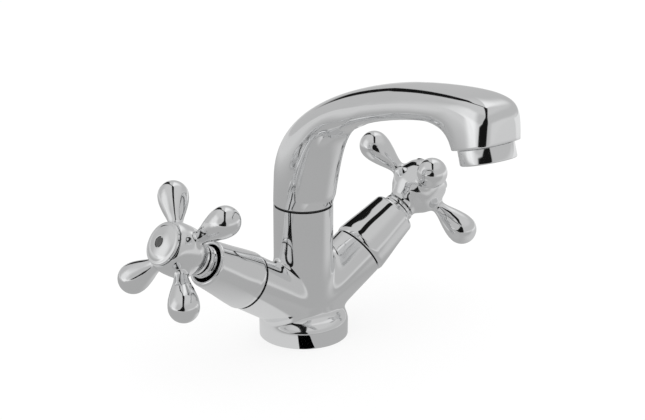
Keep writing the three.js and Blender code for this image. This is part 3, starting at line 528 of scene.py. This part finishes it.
def curve_through(points, steps=8):
    """A smooth run of points through the given ones."""
    runs = []
    vectors = [Vector((*p, 0)) for p in points]
    for i in range(len(vectors) - 1):
        before = vectors[max(i - 1, 0)]
        start, end = vectors[i], vectors[i + 1]
        after = vectors[min(i + 2, len(vectors) - 1)]
        handle_a = start + (end - before) / 6
        handle_b = end - (after - start) / 6
        run = interpolate_bezier(start, handle_a, handle_b, end, steps + 1)
        runs += [(v.x, v.y) for v in (run if i == 0 else run[1:])]
    return runs


def rounded(corner, before, after, radius, steps=5):
    """An arc that replaces a profile's corner between two neighbours."""
    at, a, b = (Vector(p) for p in (corner, before, after))
    u, v = (a - at).normalized(), (b - at).normalized()
    reach = radius / math.tan(u.angle(v) / 2)
    start, end = at + u * reach, at + v * reach
    hold = 0.5523 * radius * math.tan((math.pi - u.angle(v)) / 4) / math.tan(math.pi / 8)
    arc = interpolate_bezier(
        start.to_3d(), (start - u * hold).to_3d(), (end - v * hold).to_3d(), end.to_3d(), steps + 1)
    return [(p.x, p.y) for p in arc]


def soft_corners(profile):
    """A profile whose points may hold a third number, the radius of that corner."""
    points = []
    for i, point in enumerate(profile):
        if len(point) == 3:
            points += rounded(point[:2], profile[i - 1][:2], profile[(i + 1) % len(profile)][:2],
                              point[2])
        else:
            points.append(tuple(point))
    return points


# %% Lathe
def spun(profile, closed=False, around=AROUND):
    """A bmesh turned about Z from [radius, height] points, in millimetres."""
    bm = bmesh.new()
    verts = [bm.verts.new((r * MM, 0, z * MM)) for r, z in profile]
    edges = [bm.edges.new(pair) for pair in zip(verts, verts[1:])]
    if closed:
        edges.append(bm.edges.new((verts[-1], verts[0])))
    bmesh.ops.spin(
        bm, geom=verts + edges, cent=(0, 0, 0), axis=(0, 0, 1), angle=math.tau, steps=around,
        use_merge=True)
    bmesh.ops.remove_doubles(bm, verts=bm.verts, dist=0.002 * MM)
    bmesh.ops.recalc_face_normals(bm, faces=bm.faces)
    return bm


def piece_from(bm, name, material, sharp=35.0):
    """Writes a bmesh to an object at the origin, smooth but for its sharp edges."""
    mesh = bpy.data.meshes.new(name)
    bm.to_mesh(mesh)
    bm.free()
    mesh.materials.append(material)
    mesh.shade_smooth()
    mesh.set_sharp_from_angle(angle=math.radians(sharp))
    piece = bpy.data.objects.new(name, mesh)
    scene.collection.objects.link(piece)
    return piece


# %% [markdown]
# ## Cutting and blending
#
# A casting has no seams: the column runs into the arms with a soft hollow. To get that,
# rough solids are joined and remeshed into an even skin, and the skin is then drawn onto
# the exact blend of the same solids, a formula that gives the distance to each one and
# rounds the place where two meet. Machined faces and bores are cut afterwards, so that
# they stay crisp against the soft casting.

# %% Cutting tools
def apply_modifiers(piece):
    """Bakes a piece's modifiers into its mesh."""
    settled = bpy.data.meshes.new_from_object(piece.evaluated_get(
        bpy.context.evaluated_depsgraph_get()))
    piece.modifiers.clear()
    piece.data = settled


def cut_with(piece, cutters, operation="DIFFERENCE"):
    """Adds or takes away the cutters' shapes, one after the other."""
    for bm in cutters:
        cutter = piece_from(bm, "cutter", CHROME)
        modifier = piece.modifiers.new("cut", "BOOLEAN")
        modifier.operation = operation
        modifier.object = cutter
        modifier.solver = "MANIFOLD"
        bpy.context.view_layer.update()
        apply_modifiers(piece)
        bpy.data.objects.remove(cutter)


def even_skin(piece, voxel_mm):
    modifier = piece.modifiers.new("skin", "REMESH")
    modifier.mode = "VOXEL"
    modifier.voxel_size = voxel_mm * MM
    bpy.context.view_layer.update()
    apply_modifiers(piece)


def turned_distance(points, outline):
    """Distance in mm from points to a solid turned about Z, negative inside it."""
    radius = np.hypot(points[:, 0], points[:, 1])
    spot = np.stack([radius, points[:, 2]], 1)
    nearest = np.full(len(points), np.inf)
    inside = np.zeros(len(points), bool)
    for a, b in zip(outline, outline[1:]):
        a, b = np.array(a, float), np.array(b, float)
        crosses = (a[1] > spot[:, 1]) != (b[1] > spot[:, 1])
        if abs(b[1] - a[1]) > 1e-9:
            reach = a[0] + (spot[:, 1] - a[1]) / (b[1] - a[1]) * (b[0] - a[0])
            inside ^= crosses & (spot[:, 0] < reach)
        along = b - a
        share = np.clip(((spot - a) @ along) / max(along @ along, 1e-12), 0, 1)
        gap = spot - a - share[:, None] * along
        nearest = np.minimum(nearest, np.einsum("ij,ij->i", gap, gap))
    return np.sqrt(nearest) * np.where(inside, -1, 1)


def tube_distance(points, origin, axis, radius):
    """Distance in mm to an endless round bar."""
    away = points - origin
    away = away - np.outer(away @ axis, axis)
    return np.linalg.norm(away, axis=1) - radius


def soft_union(a, b, width):
    """The smaller of two distances, with the crease between them rounded over a width."""
    share = np.maximum(width - np.abs(a - b), 0) / width
    return np.minimum(a, b) - share ** 3 * width / 6


def draw_onto(piece, distance, rounds=5, steady=2):
    """Moves a piece's vertices onto the surface where the distance is nought."""
    bm = bmesh.new()
    bm.from_mesh(piece.data)
    step = 0.01
    for turn_number in range(rounds):
        if turn_number < rounds - steady:
            bmesh.ops.smooth_vert(
                bm, verts=bm.verts, factor=0.5, use_axis_x=True, use_axis_y=True, use_axis_z=True)
        points = np.array([v.co for v in bm.verts]) / MM
        here = distance(points)
        slope = np.stack(
            [(distance(points + step * axis) - here) / step for axis in np.eye(3)], 1)
        length = np.maximum((slope ** 2).sum(1), 0.25)
        points -= slope * (here / length)[:, None]
        for vert, point in zip(bm.verts, points * MM):
            vert.co = point
    bm.to_mesh(piece.data)
    bm.free()
    return float(np.abs(here).max())


def face_off(piece, point, normal, near=None):
    """Cuts a piece flat at a plane and closes the cut. near picks the faces to cut."""
    bm = bmesh.new()
    bm.from_mesh(piece.data)
    faces = [f for f in bm.faces if near is None or near(f.calc_center_median())]
    geometry = {*faces}
    for face in faces:
        geometry.update(face.verts)
        geometry.update(face.edges)
    result = bmesh.ops.bisect_plane(
        bm, geom=list(geometry), plane_co=point, plane_no=normal, clear_outer=True,
        dist=0.0005 * MM)
    rim = [e for e in result["geom_cut"] if isinstance(e, bmesh.types.BMEdge)]
    bmesh.ops.holes_fill(bm, edges=rim, sides=0)
    bmesh.ops.recalc_face_normals(bm, faces=bm.faces)
    bm.to_mesh(piece.data)
    bm.free()


# %% [markdown]
# ## Body
#
# The real body is one brass casting, polished and plated: foot, column and both arms.
# It starts as a turned stem with two bars through it. Where the bars leave the stem the
# blend rounds the crease, as the foundry's pattern does. The arm ends and the column's
# top are then faced off flat, and the valve chambers, the socket of the spout and the
# holes under the foot are bored.

# %% Body sizes
FOOT_RADIUS, FOOT_WALL, COLUMN_RADIUS, COLUMN_TOP = 24.0, 8.0, 16.0, 74.0
ARM_TILT, ARM_ORIGIN, ARM_LENGTH, ARM_RADIUS = math.radians(33), 14.5, 43.7, 15.1
CREASE = 7.0
SIDES = {"hot": -1, "cold": 1}


def arm_frame(side):
    """Places a piece that was made along Z on an arm: +Z runs outwards along the arm."""
    lift = Matrix.Translation((0, 0, ARM_ORIGIN * MM))
    return lift @ Matrix.Rotation(side * (math.pi / 2 - ARM_TILT), 4, "Y")


def arm_axis(side):
    return np.array([side * math.cos(ARM_TILT), 0, math.sin(ARM_TILT)])


STEM = [(0, -2.0), (FOOT_RADIUS, -2.0), (FOOT_RADIUS + 0.1, FOOT_WALL - 0.5)] + curve_through([
    (FOOT_RADIUS + 0.1, FOOT_WALL), (FOOT_RADIUS - 0.5, FOOT_WALL + 2.1),
    (FOOT_RADIUS - 2.3, FOOT_WALL + 4.0), (FOOT_RADIUS - 4.9, FOOT_WALL + 5.4),
    (FOOT_RADIUS - 6.9, FOOT_WALL + 7.2), (COLUMN_RADIUS, FOOT_WALL + 11.0)]) + [
    (COLUMN_RADIUS, COLUMN_TOP + 2), (0, COLUMN_TOP + 2)]


def body_distance(points):
    stem = turned_distance(points, STEM)
    arms = []
    for side in SIDES.values():
        origin, axis = np.array([0, 0, ARM_ORIGIN]), arm_axis(side)
        bar = tube_distance(points, origin, axis, ARM_RADIUS)
        reach = (points - origin) @ axis
        arms.append(np.maximum(bar, np.maximum(reach - ARM_LENGTH - 2, -reach)))
    both = np.minimum(*arms)
    return soft_union(stem, both, CREASE)


# %% Body casting
body = piece_from(spun(STEM), "body_casting", CHROME)
bars = []
for side in SIDES.values():
    bar = spun([(0, 0), (ARM_RADIUS, 0), (ARM_RADIUS, ARM_LENGTH + 2), (0, ARM_LENGTH + 2)])
    bar.transform(arm_frame(side))
    bars.append(bar)
cut_with(body, bars, "UNION")
even_skin(body, 0.62)
error = draw_onto(body, body_distance)
face_off(body, (0, 0, 0), (0, 0, -1))
face_off(body, (0, 0, COLUMN_TOP * MM), (0, 0, 1), near=lambda c: c.z > 0.070)
for side in SIDES.values():
    axis = Vector(arm_axis(side))
    end = Vector((0, 0, ARM_ORIGIN * MM)) + axis * ARM_LENGTH * MM
    face_off(body, end, axis, near=lambda c: (c - end).length < 0.0185 and c.x * side > 0.02)
print("casting:", len(body.data.polygons), "faces, off by", round(error, 4), "mm")

# %% [markdown]
# ## Bores
#
# The chambers take the headworks and the socket takes the spout's spigot. They are
# turned shapes taken away from the casting with a Boolean. Its manifold solver is quick
# and leaves a closed solid.

# %% Bore the casting
CHAMBER = [(0, 11.5), (4.5, 11.5), (4.5, 18), (10.7, 18), (10.7, 46), (0, 46)]
SOCKET = [(0, 27), (7.5, 27), (7.5, 46), (11, 46), (11, 76), (0, 76)]
GASKET_GROOVE = [(19.3, -1), (22.5, -1), (22.5, 1.5), (19.3, 1.5)]
bores = [spun(SOCKET), spun(GASKET_GROOVE, closed=True)]
for side in SIDES.values():
    chamber = spun(CHAMBER)
    chamber.transform(arm_frame(side))
    inlet = spun([(0, -1), (4.6, -1), (4.6, 21), (0, 21)], around=48)
    inlet.transform(Matrix.Translation((side * 11.5 * MM, 0, 0)))
    bores += [chamber, inlet]
stud = spun([(0, -1), (3.4, -1), (3.4, 11), (0, 11)], around=48)
stud.transform(Matrix.Translation((0, 11 * MM, 0)))
lock_hole = spun([(0, 0), (2.2, 0), (2.2, 18), (0, 18)], around=48)
lock_hole.transform(
    Matrix.Translation((0, 0, (COLUMN_TOP - 11.5) * MM)) @ Matrix.Rotation(-math.pi / 2, 4, "X"))
cut_with(body, bores + [stud, lock_hole])
body.data.shade_smooth()
body.data.set_sharp_from_angle(angle=math.radians(35))
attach(body, "body")
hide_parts("mixer_body")
print("bored casting:", len(body.data.polygons), "faces")

# %% [markdown]
# ## Spout
#
# The spout is cast hollow, round where it meets the column, squarer along its arm, and it
# hooks down at the end. A loft suits it: a row of rings, each fitted between an outer and
# an inner edge curve, and bridged to the next. The edges are Bezier curves whose points
# are the places where the shape changes: collar, bend, crown, nose.

# %% Edge curves of the spout, as reach and height in millimetres
SPOUT_BOTTOM = 75.2
OUTLET, OUTLET_TILT, OUTLET_HALF = Vector((143.2, 145.2)), math.radians(17.6), 14.6
OUTLET_ALONG = Vector((math.cos(OUTLET_TILT), math.sin(OUTLET_TILT)))


def slope_point(reach, height, rise, distance):
    """A point some way before or after a station, along its rise in degrees."""
    angle = math.radians(rise)
    return Vector((reach + distance * math.cos(angle), height + distance * math.sin(angle)))


CROWN, NOSE = (90, 162.6, 12.2), (141.7, 169.2, -1.5)
THROAT, HOOK = (38.8, 125, 30.6), (111, 149.2, 0)
OUTER_END = OUTLET + OUTLET_ALONG * OUTLET_HALF
INNER_END = OUTLET - OUTLET_ALONG * OUTLET_HALF
OUTER = [
    [Vector((-16, SPOUT_BOTTOM)), Vector((-16, 80)), Vector((-16, 85)), Vector((-16, 90))],
    [Vector((-16, 90)), Vector((-16, 130)), slope_point(*CROWN, -33), slope_point(*CROWN, 0)],
    [slope_point(*CROWN, 0), slope_point(*CROWN, 20), slope_point(*NOSE, -11),
     slope_point(*NOSE, 0)],
    [slope_point(*NOSE, 0), slope_point(*NOSE, 15.4), OUTER_END + Vector((0, 15.4)), OUTER_END],
]
INNER = [
    [Vector((16, SPOUT_BOTTOM)), Vector((16.6, 76.8)), Vector((17.8, 78.4)), Vector((19, 80))],
    [Vector((19, 80)), Vector((28, 120)), slope_point(*THROAT, -11), slope_point(*THROAT, 0)],
    [slope_point(*THROAT, 0), slope_point(*THROAT, 28), slope_point(*HOOK, -6),
     slope_point(*HOOK, 0)],
    [slope_point(*HOOK, 0), slope_point(*HOOK, 8), INNER_END + Vector((-4, 7)), INNER_END],
]
HALF_WIDTHS = [16.0, 16.0, 13.6, 14.3, 14.6]
SQUARENESS = [2.0, 2.0, 2.6, 3.0, 3.0]
BEND_HALF_WIDTH = 13.1


# %% Loft of the spout
def bezier_at(points, t):
    a, b, c, d = points
    return a * (1 - t) ** 3 + b * 3 * (1 - t) ** 2 * t + c * 3 * (1 - t) * t * t + d * t ** 3


def half_width(stretch, t):
    start, end = HALF_WIDTHS[stretch], HALF_WIDTHS[stretch + 1]
    pinch = (start + end) / 2 - BEND_HALF_WIDTH if stretch == 1 else 0
    return start + (end - start) * t * t * (3 - 2 * t) - pinch * math.sin(math.pi * t) ** 2


def spout_ring(bm, outer, inner, half, power, around):
    """One circle, drawn out to a squarish oval between the two edges."""
    ring = bmesh.ops.create_circle(bm, segments=around, radius=1)["verts"]
    centre, reach = (outer + inner) / 2, (outer - inner) / 2
    for vert in ring:
        c, s = vert.co.x, vert.co.y
        a = math.copysign(abs(c) ** (2 / power), c)
        b = math.copysign(abs(s) ** (2 / power), s)
        spot = centre + reach * a
        vert.co = Vector((-half * b, -spot.x, spot.y)) * MM
    return ring


def ring_edges(ring):
    inside = set(ring)
    return [e for e in {e for v in ring for e in v.link_edges} if inside.issuperset(e.verts)]


RINGS = [6, 34, 22, 30]
bm = bmesh.new()
rings = []
for stretch, count in enumerate(RINGS):
    last = count + 1 if stretch == len(RINGS) - 1 else count
    for k in range(last):
        t = k / count
        power = SQUARENESS[stretch] + (SQUARENESS[stretch + 1] - SQUARENESS[stretch]) * t
        rings.append(spout_ring(
            bm, bezier_at(OUTER[stretch], t), bezier_at(INNER[stretch], t),
            half_width(stretch, t), power, 96))
edge_sets = [ring_edges(ring) for ring in rings]
for near_edges, far_edges in zip(edge_sets, edge_sets[1:]):
    bmesh.ops.bridge_loops(bm, edges=near_edges + far_edges)
for edges in (edge_sets[0], edge_sets[-1]):
    bmesh.ops.edgeloop_fill(bm, edges=edges)
bmesh.ops.recalc_face_normals(bm, faces=bm.faces)
rims = edge_sets[0] + edge_sets[-1]
bmesh.ops.bevel(
    bm, geom=rims, offset=0.35 * MM, offset_type="OFFSET", segments=3, profile=0.5,
    affect="EDGES", material=-1)
spout = piece_from(bm, "spout_casting", CHROME, sharp=40)


def outlet_frame():
    """Places a piece that was made along Z on the outlet: +Z runs up into the spout."""
    lift = Matrix.Translation((0, -OUTLET.x * MM, OUTLET.y * MM))
    return lift @ Matrix.Rotation(-OUTLET_TILT, 4, "X")


outlet_bore = spun([(0, -1), (11.9, -1), (11.9, 9.6), (0, 9.6)])
outlet_bore.transform(outlet_frame())
cut_with(spout, [
    spun([(0, 74), (10.3, 74), (10.3, 87.5), (7.2, 87.5), (7.2, 94), (0, 94)]), outlet_bore])
spout.data.shade_smooth()
spout.data.set_sharp_from_angle(angle=math.radians(40))
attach(spout, "spout")
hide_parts("spout")
print("spout:", len(rings), "rings,", len(spout.data.polygons), "faces")

# %% [markdown]
# ## Aerator ring
#
# The ring screws into the outlet and holds the mesh that softens the stream. It is turned
# from brass and plated, with small rounded edges and a narrow lip round the jets. It is
# set square to the outlet, so it leans with it.

# %% Aerator ring
RING_TOP, RING_BOTTOM = -0.3, -7.9
bm = spun(soft_corners([
    (9.1, RING_BOTTOM, 0.25), (13.6, RING_BOTTOM, 0.7), (13.6, RING_TOP, 0.35), (11.6, RING_TOP),
    (11.6, 6.8, 0.3), (10.5, 6.8, 0.3), (10.5, RING_BOTTOM + 1.4), (9.1, RING_BOTTOM + 1.4, 0.25),
]), closed=True)
bm.transform(outlet_frame())
aerator_ring = piece_from(bm, "aerator_ring", TURNED_CHROME)
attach(aerator_ring, "spout")
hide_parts("aerator_housing")
print("aerator ring:", len(aerator_ring.data.polygons), "faces")

# %% [markdown]
# ## Shrouds
#
# A shroud hides the headwork. It is a tube, turned with a bead at the foot that covers the
# joint with the body, a gentle taper, and a rolled lip at the mouth. One profile makes
# both, and each is then laid on its own arm.

# %% Shrouds
SHROUD_LOW, MOUTH = ARM_LENGTH + 1.0, ARM_LENGTH + 31.3
SHROUD = [(13.1, SHROUD_LOW), (14.6, SHROUD_LOW)] + curve_through([
    (14.9, SHROUD_LOW + 0.05), (15.4, SHROUD_LOW + 0.7), (15.7, SHROUD_LOW + 2.2),
    (15.5, SHROUD_LOW + 4.4), (15.0, SHROUD_LOW + 8.9), (13.8, SHROUD_LOW + 18.0),
    (12.8, MOUTH - 3.2), (12.6, MOUTH - 1.3), (12.2, MOUTH - 0.4), (11.4, MOUTH),
    (10.7, MOUTH - 0.2), (10.25, MOUTH - 0.9), (10.2, MOUTH - 3.0)]) + [
    (10.6, 61.0), (13.1, 55.0)]
for name, side in SIDES.items():
    bm = spun(SHROUD, closed=True)
    bm.transform(arm_frame(side))
    shroud = piece_from(bm, f"{name}_sleeve", TURNED_CHROME)
    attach(shroud, "body")
    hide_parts(f"{name}_shroud")
print("sleeve:", len(shroud.data.polygons), "faces each")

# %% [markdown]
# ## Headworks
#
# The bonnet of a headwork shows between the shroud and the handle. It is plated too. The
# threaded barrel and the hexagon stay hidden, but they are made with their real edges, so
# that the part is right when it is taken apart.

# %% Headworks
BONNET_END = ARM_LENGTH + 35.8
for name, side in SIDES.items():
    bm = spun(soft_corners([
        (7.4, 18.7), (10.4, 18.7, 0.4), (10.4, 45.5), (12.2, 45.5, 0.3), (12.2, 47.9, 0.3),
        (8.8, 47.9), (8.8, BONNET_END - 3.4, 0.2), (8.3, BONNET_END - 2.9, 0.2),
        (8.3, BONNET_END - 2.1, 0.2), (8.8, BONNET_END - 1.6, 0.2), (8.8, BONNET_END, 0.5),
        (4.2, BONNET_END), (4.2, 42.5), (5.2, 42.5), (5.2, 39.9), (4.2, 39.9), (4.2, 33.5),
        (7.4, 33.5)]), closed=True)
    bonnet = piece_from(bm, f"{name}_bonnet", TURNED_CHROME)
    nut = bmesh.new()
    bmesh.ops.create_cone(
        nut, cap_ends=True, cap_tris=False, segments=6, radius1=12.2 * MM, radius2=12.2 * MM,
        depth=7.6 * MM)
    corners = [e for e in nut.edges if len(e.link_faces) == 2 and abs(
        e.verts[0].co.z - e.verts[1].co.z) < MM]
    bmesh.ops.bevel(nut, geom=corners, offset=0.5 * MM, segments=2, profile=0.5,
                    affect="EDGES", material=-1, offset_type="OFFSET")
    bmesh.ops.translate(nut, verts=nut.verts, vec=(0, 0, 51.2 * MM))
    cut_with(bonnet, [nut], "UNION")
    cut_with(bonnet, [spun([(0, 46), (4.2, 46), (4.2, 56), (0, 56)])])
    bonnet.data.transform(arm_frame(side))
    bonnet.data.shade_smooth()
    bonnet.data.set_sharp_from_angle(angle=math.radians(30))
    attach(bonnet, "body")
    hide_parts(f"{name}_headwork_body")
print("bonnet:", len(bonnet.data.polygons), "faces each")

# %% [markdown]
# ## Cross handles
#
# A cross handle is one casting: a bell-shaped hub with four clubs that swell from a slim
# neck to a round knob. It is made as the body is, from turned shapes that are joined,
# skinned, and drawn onto their blend, so each neck grows out of the hub with a soft
# crease. One handle is made along Z and copied to each arm at its own turn.

# %% Handle shapes
HANDLE_BACK, HANDLE_PLANE = ARM_LENGTH + 36.8, ARM_LENGTH + 51.2
HUB_FRONT, CAP_POCKET = ARM_LENGTH + 60.9, ARM_LENGTH + 54.3
KNOB_REACH, KNOB_RADIUS = 33.7, 8.2
HANDLE_TURN = {"hot": 45, "cold": 50}
HUB = [(0, HANDLE_BACK - 2), (8.3, HANDLE_BACK - 2)] + curve_through([
    (8.35, HANDLE_BACK), (8.8, HANDLE_BACK + 2.2), (10.6, HANDLE_BACK + 4.7),
    (12.6, HANDLE_BACK + 7.2), (13.7, HANDLE_BACK + 9.8), (14.0, HANDLE_PLANE - 1),
    (13.95, HANDLE_PLANE + 3.5), (13.5, HUB_FRONT - 2.8), (12.7, HUB_FRONT - 0.7),
    (11.9, HUB_FRONT + 0.3)]) + [(11.2, HUB_FRONT + 1.2), (0, HUB_FRONT + 1.2)]
dome = [(KNOB_RADIUS * math.cos(a), KNOB_REACH + KNOB_RADIUS * math.sin(a))
        for a in np.linspace(0, math.pi / 2, 24)]
dome[-1] = (0, KNOB_REACH + KNOB_RADIUS)
CLUB = [(0, 6.0), (4.6, 6.0)] + curve_through([
    (3.9, 13.5), (3.65, 16.0), (4.5, 19.6), (6.2, 24.2), (7.65, 29.0), (8.15, 32.0)],
    steps=6) + dome


def fold_quarter(points):
    """Turns every point into the first club's quarter, so that one club stands for four."""
    angle = np.arctan2(points[:, 1], points[:, 0])
    folded = (angle + math.pi / 4) % (math.pi / 2) - math.pi / 4
    radius = np.hypot(points[:, 0], points[:, 1])
    return radius * np.cos(folded), radius * np.sin(folded)


def handle_distance(points):
    hub = turned_distance(points, HUB)
    out, across = fold_quarter(points)
    club = turned_distance(
        np.stack([across, points[:, 2] - HANDLE_PLANE, out], 1), CLUB)
    return soft_union(hub, club, 4.0)


# %% Cross handle
handle = piece_from(spun(HUB), "cross_handle", CHROME)
clubs = []
for quarter in range(4):
    club = spun(CLUB, around=48)
    club.transform(
        Matrix.Rotation(quarter * math.pi / 2, 4, "Z")
        @ Matrix.Translation((0, 0, HANDLE_PLANE * MM)) @ Matrix.Rotation(math.pi / 2, 4, "Y"))
    clubs.append(club)
cut_with(handle, clubs, "UNION")
even_skin(handle, 0.48)
error = draw_onto(handle, handle_distance)
face_off(handle, (0, 0, HANDLE_BACK * MM), (0, 0, -1), near=lambda c: c.xy.length < 0.0095)
face_off(handle, (0, 0, HUB_FRONT * MM), (0, 0, 1), near=lambda c: c.xy.length < 0.0138)
cut_with(handle, [spun([
    (0, HANDLE_BACK - 1), (6.1, HANDLE_BACK - 1), (6.1, HANDLE_BACK + 3), (3.7, HANDLE_BACK + 3),
    (3.7, 92.3), (2.2, 92.3), (2.2, CAP_POCKET), (8.9, CAP_POCKET), (8.9, HUB_FRONT + 3),
    (0, HUB_FRONT + 3)])])
print("handle:", len(handle.data.polygons), "faces, off by", round(error, 4), "mm")

for name, side in SIDES.items():
    mesh = handle.data.copy()
    mesh.transform(
        arm_frame(side) @ Matrix.Rotation(math.radians(HANDLE_TURN[name]), 4, "Z"))
    mesh.name = f"{name}_cross_handle"
    mesh.shade_smooth()
    mesh.set_sharp_from_angle(angle=math.radians(40))
    copy = bpy.data.objects.new(f"{name}_cross_handle", mesh)
    scene.collection.objects.link(copy)
    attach(copy, f"{name}_handle")
    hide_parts(f"{name}_handle")
bpy.data.objects.remove(handle)

# %% [markdown]
# ## Index caps
#
# A domed cap closes the front of each hub and hides the screw. It is spun, with a rim, a
# fine groove inside the rim, and a small seat at the centre for the mark. The mark itself
# is a low drop of enamel, and stays a plain dot here.

# %% Caps and marks
CAP_SEAT, CAP_FRONT, MARK_RADIUS = HUB_FRONT + 0.3, ARM_LENGTH + 65.3, 2.6
for name, side in SIDES.items():
    rise = CAP_FRONT - CAP_SEAT
    bm = spun([(0, CAP_POCKET + 4.2), (7.2, CAP_POCKET + 4.2), (7.2, CAP_POCKET + 1.5),
               (8.6, CAP_POCKET + 1.5), (8.6, CAP_SEAT)] + soft_corners([
                   (10.6, CAP_SEAT), (11.6, CAP_SEAT, 0.25), (11.6, CAP_SEAT + 1.5, 0.5),
                   (10.7, CAP_SEAT + 1.95)])[1:-1] + curve_through([
                       (10.6, CAP_SEAT + 1.85), (10.25, CAP_SEAT + 1.9),
                       (9.8, CAP_SEAT + rise * 0.5), (8.6, CAP_SEAT + rise * 0.66),
                       (6.9, CAP_SEAT + rise * 0.82), (5.0, CAP_SEAT + rise * 0.93),
                       (3.3, CAP_FRONT - 0.08), (2.95, CAP_FRONT - 0.35)]) + [
                           (2.9, CAP_FRONT - 1.3), (0, CAP_FRONT - 1.3)])
    bm.transform(arm_frame(side))
    cap = piece_from(bm, f"{name}_cap", TURNED_CHROME)
    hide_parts(f"{name}_index_cap")
    bm = spun([(0, CAP_FRONT - 1.0)] + soft_corners([
        (0, CAP_FRONT - 1.0), (MARK_RADIUS, CAP_FRONT - 1.0, 0.15),
        (MARK_RADIUS, CAP_FRONT - 0.15, 0.3), (0, CAP_FRONT + 0.2)])[1:-1]
        + [(0, CAP_FRONT + 0.2)])
    bm.transform(arm_frame(side))
    mark = piece_from(bm, f"{name}_mark", ENAMEL)
    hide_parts(f"{name}_index_mark")
    for piece in (cap, mark):
        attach(piece, f"{name}_handle")
print("cap:", len(cap.data.polygons), "mark:", len(mark.data.polygons), "faces")

# %% [markdown]
# ## Pieces kept from the model
#
# Seals, discs, screws and the spigot sit inside, and their shapes are right already. They
# keep their meshes and only get a finish. Most get the finish that each one has. The slide
# ring gets near-black plastic as painted shade, for the shadow in the joint under the spout.

# %% Finishes of the kept nodes
KEPT = {
    # the slide ring's near-black plastic is painted shade, for the shadow in its joint
    "base_gasket": RUBBER, "spout_slide_ring": PAINTED_SHADE_PLASTIC, "spout_lock_screw": STEEL,
    "spout_spigot": BRASS, "spigot_seal_upper": RUBBER, "spigot_seal_lower": RUBBER,
    "aerator_cartridge": PLASTIC, "aerator_screen": STEEL, "aerator_washer": RUBBER,
    "seat_seal": RUBBER, "fixed_disc": CERAMIC, "moving_disc": CERAMIC,
    "headwork_washer": RUBBER, "spindle": NICKEL, "spindle_seal": RUBBER,
    "spindle_clip": STEEL, "handle_screw": STEEL,
}
dressed = 0
for node_name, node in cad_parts.items():
    plain = node_name.split("_", 1)[1] if node_name.split("_")[0] in SIDES else node_name
    if plain in KEPT:
        node.data.materials.clear()
        node.data.materials.append(KEPT[plain])
        dressed += 1
print("kept nodes with a finish:", dressed)
